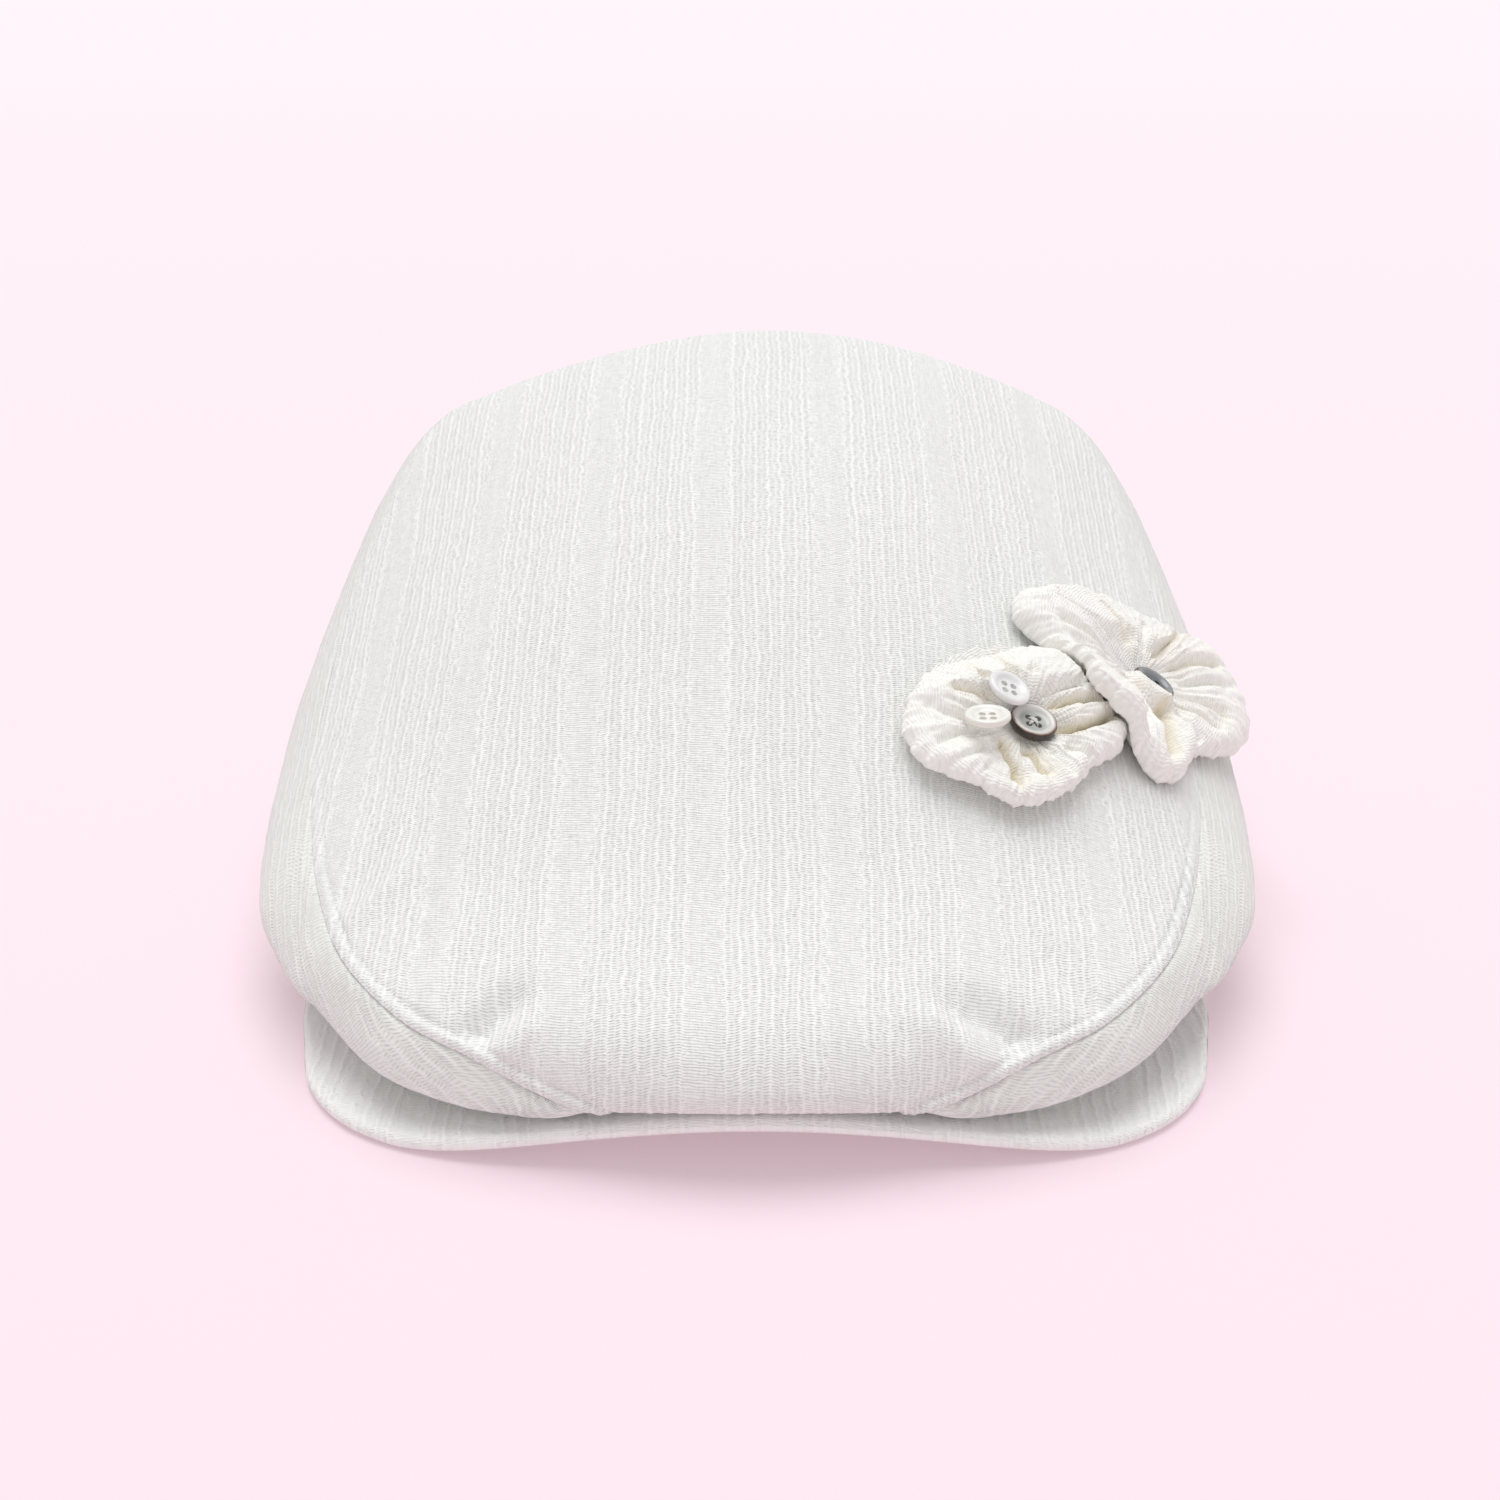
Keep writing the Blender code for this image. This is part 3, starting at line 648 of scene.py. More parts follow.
def mesh_object(name: str, points: Array, faces: Sequence[Sequence[int]], material: bpy.types.Material,
                uv: Array | None = None, uv_name: str = "cloth", edges: Sequence[tuple[int, int]] = (),
                **values: Array) -> bpy.types.Object:
    """Make an object from points in millimetres.

    Args:
        name: The object's name.
        points: One row a point.
        faces: Point numbers of each face.
        material: The finish.
        uv: One pair a point, for the UV map.
        uv_name: The UV map's name.
        edges: Point numbers of edges that no face has.
        **values: Point attributes, one number a point.

    Returns:
        The object, smooth shaded.
    """
    mesh = bpy.data.meshes.new(name)
    mesh.from_pydata(((points - MIDDLE) * MM).tolist(), edges, faces)
    if uv is not None:
        corners = np.zeros(len(mesh.loops), np.int32)
        mesh.loops.foreach_get("vertex_index", corners)
        mesh.uv_layers.new(name=uv_name).data.foreach_set("uv", uv[corners].astype(np.float32).ravel())
    for key, numbers in values.items():
        mesh.attributes.new(key, "FLOAT", "POINT").data.foreach_set("value", numbers.astype(np.float32).ravel())
    mesh.shade_smooth()
    mesh.materials.append(material)
    return placed(name, mesh)


def cloth_object(name: str, points: Array, faces: Sequence[Sequence[int]], cloth: bpy.types.Material, uv: Array,
                 **outer: Array) -> bpy.types.Object:
    """Make a cloth with the point attributes that its relief and its finish read.

    Args:
        name: The object's name.
        points: Points in millimetres, those of the outer face first.
        faces: Point numbers of each face.
        cloth: The finish.
        uv: The flat pattern's coordinates of each point.
        **outer: Point attributes of the outer face. Elsewhere they are 0, and seam is FAR.

    Returns:
        The object.
    """
    outer.setdefault("seam", np.zeros(0))
    values = {key: np.append(grid.ravel(), np.full(len(points) - grid.size, FAR if key == "seam" else 0.0))
              for key, grid in outer.items()}
    return mesh_object(name, points, faces, cloth, uv, rib_u=uv[:, 0], rib_v=uv[:, 1], **values)


def grid_faces(rows: int, columns: int, start: int = 0, wrap: bool = False, flip: bool = False) -> list[list[int]]:
    """Faces of a grid of points.

    Args:
        rows: Points along the first axis.
        columns: Points along the second axis.
        start: Number of the grid's first point.
        wrap: True where the last column joins the first one.
        flip: True to turn the faces round.

    Returns:
        Point numbers of each face.
    """
    r, c = np.meshgrid(np.arange(rows - 1), np.arange(columns if wrap else columns - 1), indexing="ij")
    d = (c + 1) % columns
    quads = np.stack([r * columns + c, r * columns + d, (r + 1) * columns + d, (r + 1) * columns + c], -1) + start
    quads = quads.reshape(-1, 4)
    return (quads[:, ::-1] if flip else quads).tolist()


def border(rows: int, columns: int) -> list[tuple[int, int]]:
    """Row and column of the points round a grid, in order."""
    return ([(0, j) for j in range(columns)] + [(i, columns - 1) for i in range(1, rows)]
            + [(rows - 1, j) for j in range(columns - 2, -1, -1)] + [(i, 0) for i in range(rows - 2, 0, -1)])


def walled(outer: Array, face: Array, uv: Array) -> tuple[Array, list[list[int]], Array]:
    """Give a panel its thickness: close a fine outer grid with a coarser inner one.

    Args:
        outer: Grid of points of the outer face.
        face: The way it faces at each point.
        uv: The flat pattern's coordinates of each point.

    Returns:
        The points, the faces and the pattern's coordinates, the outer face's first.
    """
    rows, columns = outer.shape[:2]
    keep_r, keep_c = (sorted({*range(0, size, step), size - 1}) for size, step in zip((rows, columns), INNER_STEPS))
    count = rows * columns
    faces = grid_faces(rows, columns) + grid_faces(len(keep_r), len(keep_c), count, flip=True)
    place = {(i, j): count + a * len(keep_c) + b for a, i in enumerate(keep_r) for b, j in enumerate(keep_c)}
    loop = border(rows, columns)
    current = place[loop[0]]
    for here, after in zip(loop, loop[1:] + loop[:1]):
        a, b = here[0] * columns + here[1], after[0] * columns + after[1]
        faces.append([b, a, current])
        if after in place:
            faces.append([b, current, place[after]])
            current = place[after]
    thin = np.ix_(keep_r, keep_c)
    points = np.concatenate([outer.reshape(-1, 3), (outer - WALL * face)[thin].reshape(-1, 3)])
    return points, faces, np.concatenate([uv.reshape(-1, 2), uv[thin].reshape(-1, 2)])


def repaired(item: bpy.types.Object, weld: float = 0.0, close: bool = False) -> bpy.types.Object:
    """Turn a mesh's faces outward.

    Args:
        item: The object.
        weld: Points nearer than this are joined first, in metres.
        close: True to close its holes first.

    Returns:
        The same object.
    """
    work = bmesh.new()
    work.from_mesh(item.data)
    if weld:
        bmesh.ops.remove_doubles(work, verts=work.verts, dist=weld)
    if close:
        bmesh.ops.holes_fill(work, edges=work.edges)
    bmesh.ops.recalc_face_normals(work, faces=work.faces)
    work.to_mesh(item.data)
    work.free()
    return item


def settled(item: bpy.types.Object) -> bpy.types.Object:
    """Keep an object's evaluated shape as a plain mesh, without its modifiers."""
    mesh = bpy.data.meshes.new_from_object(item.evaluated_get(bpy.context.evaluated_depsgraph_get()))
    item.modifiers.clear()
    item.data = mesh
    return item


def dressed(item: bpy.types.Object, node: str, slot: str) -> bpy.types.Object:
    """Let a piece ride on the body and stand for a CAD node."""
    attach(item, "root")
    if node:
        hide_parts(node)
    log.info("%s: %d faces", item.name, len(item.data.polygons))
    return item


class Nearest:
    """Distance to a line of points, and the place along it."""

    def __init__(self, line: Array) -> None:
        """Store the line in a search tree."""
        self.along = lengths(line, 0)
        self.tree = KDTree(len(line))
        for i, point in enumerate(line):
            self.tree.insert(Vector(point), i)
        self.tree.balance()

    def read(self, points: Array) -> tuple[Array, Array]:
        """Measure points against the line.

        Args:
            points: Points in millimetres.

        Returns:
            Their distances from it and the lengths along it.
        """
        found = [self.tree.find(Vector(point)) for point in points.reshape(-1, 3)]
        distance, along = np.array([f[2] for f in found]), self.along[[f[1] for f in found]]
        return distance.reshape(points.shape[:-1]), along.reshape(points.shape[:-1])


class GeometryTree:
    """A Geometry Nodes tree with named inputs, run once on an object and kept as its plain mesh."""

    def __init__(self, name: str, sizes: dict[str, float], slot: str, finish: bpy.types.Material) -> None:
        """Make the tree's inputs and output.

        Args:
            name: The tree's name.
            sizes: Names and values of its number inputs.
            slot: Name of its material input.
            finish: The material.
        """
        self.tree = bpy.data.node_groups.new(name, "GeometryNodeTree")
        self.slot, self.values = slot, {**sizes, slot: finish}
        for key, kind in {"Geometry": "Geometry", **dict.fromkeys(sizes, "Float"), slot: "Material"}.items():
            self.tree.interface.new_socket(key, in_out="INPUT", socket_type="NodeSocket" + kind)
        self.tree.interface.new_socket("Geometry", in_out="OUTPUT", socket_type="NodeSocketGeometry")
        given = add(self.tree, "NodeGroupInput")
        self.given = {key: Term(self.tree, given.outputs[key]) for key in ("Geometry", *sizes, slot)}

    def run(self, item: bpy.types.Object, geometry: Any) -> bpy.types.Object:
        """End the tree, run it on an object and keep the result as a plain mesh.

        Args:
            item: The object.
            geometry: The term that gives the tree's result.

        Returns:
            The same object, with no modifier.
        """
        real = term(self.tree, "GeometryNodeRealizeInstances", {0: geometry})
        add(self.tree, "NodeGroupOutput", {0: term(self.tree, "GeometryNodeSetMaterial",
                                                   {"Geometry": real, "Material": self.given[self.slot]})})
        modifier = item.modifiers.new(self.tree.name, "NODES")
        modifier.node_group = self.tree
        for socket in self.tree.interface.items_tree:
            if socket.in_out == "INPUT" and socket.name in self.values:
                modifier[socket.identifier] = self.values[socket.name]
        return settled(item)


@dataclass(frozen=True)
class Relief:
    """Geometry Nodes tree that raises ribs, ladder bands, crinkles and the topstitched seam on a cloth."""

    rib_pitch: float = 2.8
    rib_height: float = 0.19
    band_repeat: float = 27.0
    band_width: float = 7.5
    band_offset: float = -10.0
    crinkle: float = 0.45
    crepe: float = 0.0
    seam_width: float = 2.4
    seam_puff: float = 0.45
    seed: float = 3.0

    def apply(self, item: bpy.types.Object, cloth: bpy.types.Material) -> bpy.types.Object:
        """Raise the relief and turn the result into a plain mesh.

        Args:
            item: Cloth with the point attributes in RELIEF_VALUES.
            cloth: The finish that the tree sets.

        Returns:
            The same object.
        """
        sizes = {field.name.replace("_", " ").title(): getattr(self, field.name) for field in fields(self)}
        nodes = GeometryTree("cloth relief", sizes, "Cloth", cloth)
        tree, given = nodes.tree, nodes.given
        rib_u, rib_v, strength, seam, seam_s, sewn = (
            term(tree, "GeometryNodeInputNamedAttribute", {"Name": name}, data_type="FLOAT")
            for name in RELIEF_VALUES)
        weave = Weave(rib_u, rib_v, given["Seed"])

        # Ribs that swell and fade along their length, and flat bands between them.
        rib = (weave.u * TURN / given["Rib Pitch"]).wave("COSINE") * (weave.noise(0.45, 0.03, 2.0) * 2.2 + 0.75)
        _, inside = weave.bands(given["Band Repeat"], given["Band Width"], given["Band Offset"])
        band = inside.into("ShaderNodeMapRange", {1: -0.9, 2: 0.9}, interpolation_type="SMOOTHSTEP")
        puff = weave.noise(0.08, 0.16, 2.0) * 1.1 + 0.55
        height = band.into("ShaderNodeMix", {2: rib, 3: puff}, data_type="FLOAT") * given["Rib Height"]
        # Crinkles grow toward the sides, and all relief fades out at a seam.
        crinkle = weave.noise(0.16, 0.055, 3.0) + weave.noise(0.05, 0.03, 2.0) * 1.6
        sideward = rib_u.into("ShaderNodeMath", operation="ABSOLUTE")
        sideward = sideward.into("ShaderNodeMapRange", {1: 45.0, 2: 92.0, 3: 0.65, 4: 1.6})
        height = height + crinkle * sideward * given["Crinkle"] + weave.noise(0.75, 0.34, 2.0) * given["Crepe"]
        beside = seam.into("ShaderNodeMapRange", {1: given["Seam Width"], 2: given["Seam Width"] * 2.2, 3: 0.25})
        height = height * beside

        # A puckered roll beside the seam, and the dip that its stitches pull in.
        share = seam / given["Seam Width"]
        pucker = (seam_s * (TURN / 2.1) + (weave.noise(0.1, 0.1) * 9.0 + 4.5)).into("ShaderNodeMath", operation="SINE")
        arch = share.into("ShaderNodeMath", {1: 1.0}, operation="MINIMUM") * math.pi
        arch = arch.into("ShaderNodeMath", operation="SINE") * (pucker * 0.34 + 1.0)
        dip = (share - 1.12).bell(3.4) * (pucker * 0.6 + 1.0)
        height = height + (arch - dip * 0.75) * sewn * given["Seam Puff"]
        offset = term(tree, "ShaderNodeVectorMath", {0: term(tree, "GeometryNodeInputNormal"),
                                                     "Scale": height * strength * MM}, operation="SCALE")
        nodes.run(item, term(tree, "GeometryNodeSetPosition", {"Geometry": given["Geometry"], "Offset": offset}))
        for name in RELIEF_VALUES:
            if name in item.data.attributes:
                item.data.attributes.remove(item.data.attributes[name])
        return item


@dataclass(frozen=True)
class Stitching:
    """Geometry Nodes tree that lays stitches along a line."""

    pitch: float = 2.5
    length: float = 1.9
    thickness: float = 0.34

    def build(self, name: str, lines: Sequence[Array], thread: bpy.types.Material) -> bpy.types.Object:
        """Sew along lines.

        Args:
            name: The object's name.
            lines: Lines of points in millimetres.
            thread: The thread's finish.

        Returns:
            The stitches as one plain mesh.
        """
        starts = np.cumsum([0, *map(len, lines)])
        edges = [(i, i + 1) for a, b in zip(starts, starts[1:]) for i in range(a, b - 1)]
        item = mesh_object(name, np.concatenate(lines), [], thread, edges=edges)
        sizes = {field.name.title(): getattr(self, field.name) * MM for field in fields(self)}
        nodes = GeometryTree("stitches", sizes, "Thread", thread)
        tree, given = nodes.tree, nodes.given
        spaced = term(tree, "GeometryNodeResampleCurve", {
            "Curve": term(tree, "GeometryNodeMeshToCurve", {0: given["Geometry"]}), "Length": given["Pitch"]},
            mode="LENGTH")
        turn = term(tree, "FunctionNodeAlignRotationToVector", {"Vector": term(tree, "GeometryNodeInputTangent")},
                    axis="Z")
        nodes.run(item, term(tree, "GeometryNodeInstanceOnPoints", {
            "Points": spaced, "Instance": term(tree, "GeometryNodeMeshIcoSphere", {"Radius": 0.5, "Subdivisions": 2}),
            "Rotation": turn, "Scale": term(tree, "ShaderNodeCombineXYZ", {
                0: given["Thickness"], 1: given["Thickness"], 2: given["Length"]})}))
        item.data.shade_smooth()
        return dressed(item, "", "crown_cloth")


@dataclass
class TopPanel:
    """The long panel from under the front fold to the back, its ribs front to back and all parallel."""

    form: CrownForm
    cloth: bpy.types.Material
    relief: Relief
    column_step: float = 0.5
    row_count: int = 166
    close_rows: tuple[float, ...] = (0, 0.5, 1.0, 1.5, 2.0, 2.5, 3.0, 3.6, 4.5)
    fine: int = 361
    across_count: int = 121
    gathered_rows: tuple[tuple[float, ...], ...] = ((0, 2, 6), (1.2, 3.0, 7.0))
    stitch_rows: tuple[float, float, int] = (3.2, LAST - 0.3, 500)
    stitch_place: float = 1.12
    stitch_proud: float = 0.10
    look: float = 6.0
    soften: int = 7

    def pattern(self) -> tuple[Array, Array, Array]:
        """Place the cloth's straight ribs on the form.

        Returns:
            For each grid point its row on the form, its place across, and the rib's distance from the middle.
        """
        rows, across = np.linspace(0, LAST, self.fine), np.linspace(-1, 1, self.across_count)
        arc = lengths(self.form.top(rows[:, None], across[None, :]), 1)
        arc -= arc[:, [self.across_count // 2]]
        rib = np.arange(arc[:, 0].min() + GAP, arc[:, -1].max() - GAP, self.column_step)
        found = np.stack([np.interp(rib, line, across) for line in arc])
        walked = lengths(self.form.top(rows, 0 * rows), 0)
        close = np.array(self.close_rows)
        between = np.linspace(close[-1], walked[-1] - close[-1], self.row_count - 2 * len(close) + 2)[1:-1]
        marks = np.interp(np.concatenate([close, between, walked[-1] - close[::-1]]), walked, rows)
        row_grid, across_grid = np.zeros((2, len(marks), len(rib)))
        # A rib that meets the seam starts or ends there, and the rows crowd together where it does.
        for k, u in enumerate(rib):
            reach = arc[:, -1] if u > 0 else -arc[:, 0]
            good = np.flatnonzero(reach >= abs(u))
            ends = []
            for here, out in ((good[0], good[0] - 1), (good[-1], good[-1] + 1)):
                share = (abs(u) - reach[here]) / (reach[out] - reach[here]) if 0 <= out < self.fine else 0.0
                ends.append(rows[here] + share * (rows[np.clip(out, 0, self.fine - 1)] - rows[here]))
            start, end = ends
            gather = [min(np.interp(x, *self.gathered_rows), (end - start) / 2) for x in (start, LAST - end)]
            row_grid[:, k] = np.interp(marks, [0, start + gather[0], end - gather[1], LAST],
                                       [start, start + gather[0], end - gather[1], end])
            across_grid[:, k] = np.interp(row_grid[:, k], rows, found[:, k])
            if start > 0:
                across_grid[0, k] = np.sign(u)
            if end < LAST:
                across_grid[-1, k] = np.sign(u)
        return row_grid, across_grid, rib

    def build(self) -> bpy.types.Object:
        """Make the panel.

        Returns:
            The object.
        """
        row, across, rib = self.pattern()
        base = self.form.top(row, across)
        face = outward(base)
        (near_l, along_l), (near_r, along_r) = (Nearest(self.form.seam(sign)).read(base) for sign in (1.0, -1.0))
        seam = np.minimum(near_l, near_r)
        depth = sum(fold.dent(base) for fold in TOP_FOLDS) * (face[..., 2] > 0) * smooth(1.2, 5.0, seam)
        rows = np.linspace(0, LAST, self.fine)
        v = np.interp(row, rows, lengths(self.form.top(rows, 0 * rows), 0))
        # Past the front corners the relief is softer, and the seam puckers less.
        points, faces, uv = walled(base - depth[..., None] * face, face,
                                   np.stack([np.broadcast_to(rib, v.shape), v], -1))
        item = cloth_object("top_panel_cloth", points, faces, self.cloth, uv, seam=seam,
                            seam_s=np.where(near_l < near_r, along_l, along_r),
                            relief=1 - 0.35 * smooth(6.5, 10, row), sewn=1 - 0.7 * smooth(8.0, 10.0, row))
        return dressed(self.relief.apply(item, self.cloth), "top_panel", "crown_cloth")

    def stitch_lines(self, panel: bpy.types.Object) -> list[Array]:
        """Lines for the topstitching, one along each seam.

        Args:
            panel: The finished panel.

        Returns:
            The lines, on the panel's outer face.
        """
        tree = mesh_tree([panel])
        rows, kernel = np.linspace(*self.stitch_rows), np.ones(self.soften) / self.soften
        lines = []
        for sign in (-1.0, 1.0):
            half = lengths(self.form.top(rows[:, None], np.linspace(0, sign, 60)[None, :]), 1)[:, -1]
            across = sign * (1 - self.stitch_place * self.relief.seam_width / half)
            spots = self.form.top(rows, across)
            faces = unit(np.cross(self.form.top(rows, across - 0.01) - self.form.top(rows, across + 0.01),
                                  np.gradient(spots, axis=0)))
            hits = np.array([tree.ray_cast(Vector(p + self.look * f), Vector(-f), 2 * self.look)[0] or p
                             for p, f in zip(spots, faces)])
            soft = [np.convolve(np.pad(column, self.soften // 2, mode="edge"), kernel, "valid") for column in hits.T]
            lines.append(np.stack(soft, -1) + self.stitch_proud * faces)
        return lines


class Side(Enum):
    """The wearer's side that a panel is on."""

    LEFT = "side_panel_left"
    RIGHT = "side_panel_right"


@dataclass
class SidePanel:
    """One side panel, a strip from under the front fold to the back seam, its ribs along its length."""

    form: CrownForm
    cloth: bpy.types.Material
    relief: Relief
    side: Side
    row_runs: tuple[tuple[float, float, int], ...] = ((0, 3, 25), (3, 8, 62), (8, LAST, 136), (LAST, LAST + 1, 40))
    down_runs: tuple[tuple[float, float, int], ...] = ((0, 0.06, 9), (0.06, 0.97, 118), (0.97, 1, 7))
    seam_count: int = 900
    middle: float = 0.42
    grain: float = 0.55
    sink: float = 0.5
    sink_width: float = 0.7

    def build(self) -> bpy.types.Object:
        """Make the panel.

        Returns:
            The object.
        """
        left = self.side is Side.LEFT
        rows, down = stations(*self.row_runs), stations(*self.down_runs)
        base = self.form.side(rows[:, None], down[None, :], left)
        face = outward(base) * (1 if left else -1)
        width = lengths(base, 1)
        aside = width - np.array([np.interp(self.middle, down, line) for line in width])[:, None]
        # The ribs follow a line down the middle of the strip, and turn with it by a share of its bend.
        line = self.form.side(rows, np.full(rows.shape, self.middle), True)
        ahead = np.gradient(line, axis=0)
        heading = self.grain * np.unwrap(np.arctan2(ahead[:, 0], ahead[:, 1]))
        steps = np.diff(lengths(line, 0), prepend=0.0)
        u = np.cumsum(steps * np.sin(heading))[:, None] + aside * np.cos(heading)[:, None]
        v = np.cumsum(steps * np.cos(heading))[:, None] - aside * np.sin(heading)[:, None]
        places = np.linspace(0, LAST + 1, self.seam_count)
        seam, _ = Nearest(self.form.side(places, 0 * places, left)).read(base)
        relief = smooth(0, 3, seam) * smooth(0.3, 5, width[:, -1:] - width)
        base[:, 0] += GAP / 2 * unit(base[:, 1] - base[:, 0])
        outer = base - (self.sink * np.exp(-(seam / self.sink_width) ** 2))[..., None] * face
        outer, face, uv, relief = (grid if left else grid[:, ::-1]
                                   for grid in (outer, face, np.stack([u, v], -1), relief))
        points, faces, uv = walled(outer, face, uv)
        item = cloth_object(self.side.value + "_cloth", points, faces, self.cloth, uv, relief=relief)
        return dressed(self.relief.apply(item, self.cloth), self.side.value, "crown_cloth")


PEAK_EDGE = ((0.0, 1.4), (22.0, 1.9), (44.0, 3.6), (60.0, 6.2), (72.5, 10.6), (82.5, 18.0), (89.7, 29.0),
             (93.2, 43.0), (96.0, 60.0), (94.6, 78.0), (84.5, 94.0))


@dataclass
class Peak:
    """The stiff peak with cloth drawn over it, its ribs front to back."""

    form: CrownForm
    cloth: bpy.types.Material
    relief: Relief
    rounding: float = 1.5
    end_deg: float = 64.0
    column_step: float = 0.5
    line_step: float = 0.25
    close_rows: tuple[float, ...] = (0, 0.12, 0.35, 0.7, 1.1, 1.6, 2.4)
    close_span: float = 8.0
    depth_count: int = 34
    weld: float = 0.02

    def outline(self) -> tuple[Array, Array]:
        """The outer edge and the root, each from the middle to the wearer's left end."""
        at = np.linspace(0, len(PEAK_EDGE) - 1, 600)
        edge = np.stack([spline(range(len(PEAK_EDGE)), [p[k] for p in PEAK_EDGE], at) for k in (0, 1)], -1)
        return edge, self.form.rim(np.linspace(0, self.end_deg, 300), CLOTH)[:, :2]

    def plan(self) -> tuple[Array, Array, Array]:
        """Lay a grid over the peak's outline.

        Returns:
            X and Y of each grid point, and its distance from the outline.
        """
        edge, root = self.outline()
        far = int(edge[:, 0].argmax())
        back = np.concatenate([root, edge[:far - 1:-1]])
        x = np.arange(-edge[far, 0] + 0.25, edge[far, 0] - 0.2, self.column_step)
        front_y = np.interp(np.abs(x), edge[:far + 1, 0], edge[:far + 1, 1])
        span = (np.interp(np.abs(x), back[:, 0], back[:, 1]) - front_y)[None, :]
        near = np.array(self.close_rows)[:, None] * np.minimum(1, span / self.close_span)
        share = np.linspace(0, 1, self.depth_count)[1:-1, None]
        offset = np.concatenate([near, near[-1:] + share * (span - 2 * near[-1:]), span - near[::-1]])
        xx, yy = np.broadcast_to(x, offset.shape), front_y + offset
        # The whole outline in even steps, so that a point's nearest one is its distance from the edge.
        around = np.concatenate([edge, root[::-1]])
        closed = np.concatenate([around, around[::-1] * [-1, 1]])
        steps = lengths(closed, 0)
        at = np.arange(0, steps[-1], self.line_step)
        line = np.stack([np.interp(at, steps, closed[:, 0]), np.interp(at, steps, closed[:, 1]), 0 * at], -1)
        return xx, yy, Nearest(line).read(np.stack([xx, yy, 0 * xx], -1))[0]

    def build(self) -> bpy.types.Object:
        """Make the peak.

        Returns:
            The object.
        """
        xx, yy, distance = self.plan()
        round_off = np.sqrt(np.clip(1 - (1 - np.minimum(distance, self.rounding) / self.rounding) ** 2, 0, 1))
        half = self.form.peak_thick / 2
        centre = self.form.peak_floor(xx) + half
        points = np.concatenate([np.stack([xx, yy, centre + side * half * round_off], -1).reshape(-1, 3)
                                 for side in (1, -1)])
        rows, columns = xx.shape
        faces = grid_faces(rows, columns) + grid_faces(rows, columns, xx.size, flip=True)
        loop = [r * columns + c for r, c in border(rows, columns)]
        faces += [[b, a, xx.size + a, xx.size + b] for a, b in zip(loop, loop[1:] + loop[:1])]
        inward = np.stack([np.gradient(distance, axis=1) / np.gradient(xx, axis=1),
                           np.gradient(distance, axis=0) / np.gradient(yy, axis=0)], -1)
        # Round the rolled edge the cloth is longer than its plan, so the pattern runs on past it.
        bent = self.rounding * (np.arccos(np.clip(1 - distance / self.rounding, 0, 1)) - math.pi / 2 + 1)
        extra = np.where(distance < self.rounding, bent - distance, 0)
        uv = np.stack([xx + 0.8 * np.sin(yy / 9), yy], -1) + unit(inward) * extra[..., None]
        item = cloth_object("peak_cloth_cover", points, faces, self.cloth, np.tile(uv.reshape(-1, 2), (2, 1)),
                            relief=smooth(0, 1.2, distance))
        repaired(item, weld=self.weld * MM)
        return dressed(self.relief.apply(item, self.cloth), "peak", "peak_cloth")


class Edge(NamedTuple):
    """A flower's edge at one angle: how far out it reaches, how far it lifts and how high it puffs."""

    degrees: float
    reach: float
    lift: float
    puff: float


class Crease(NamedTuple):
    """A valley between folds: points as degrees and share of the reach, its depth, width and painted shade."""

    points: tuple[tuple[float, float], ...]
    depth: float
    width: float
    tint: float = 0.0


class Button(NamedTuple):
    """A button: its CAD node and slot, the way it faces, its width and thickness, and its finish."""

    node: str
    slot: str
    facing: tuple[float, float, float]
    width: float
    thick: float
    finish: TurnedResin
    covered: tuple[float, float, float] | None = None

    def seat(self) -> tuple[Array, Array]:
        """Find the middle of the underside from the CAD node.

        Returns:
            The point in millimetres and the button's facing.
        """
        points = np.array([v.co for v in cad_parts[self.node].data.vertices]) / MM + MIDDLE
        facing = unit(np.array(self.facing))
        return (points.min(0) + points.max(0)) / 2 - facing * self.thick / 2, facing


def plane_axes(facing: Sequence[float]) -> tuple[Array, Array, Array]:
    """Right, up and outward directions of a plane that faces the given way."""
    out = unit(np.array(facing))
    right = unit(np.array([1.0, 0, 0]) - out[0] * out)
    return right, np.cross(out, right), out


def mesh_tree(items: Sequence[bpy.types.Object]) -> BVHTree:
    """Search tree over the faces of finished pieces, in millimetres behind the front fold."""
    points, faces = [], []
    for item in items:
        start = len(points)
        points += [Vector(np.array(v.co) / MM + MIDDLE) for v in item.data.vertices]
        faces += [[start + i for i in face.vertices] for face in item.data.polygons]
    return BVHTree.FromPolygons(points, faces)


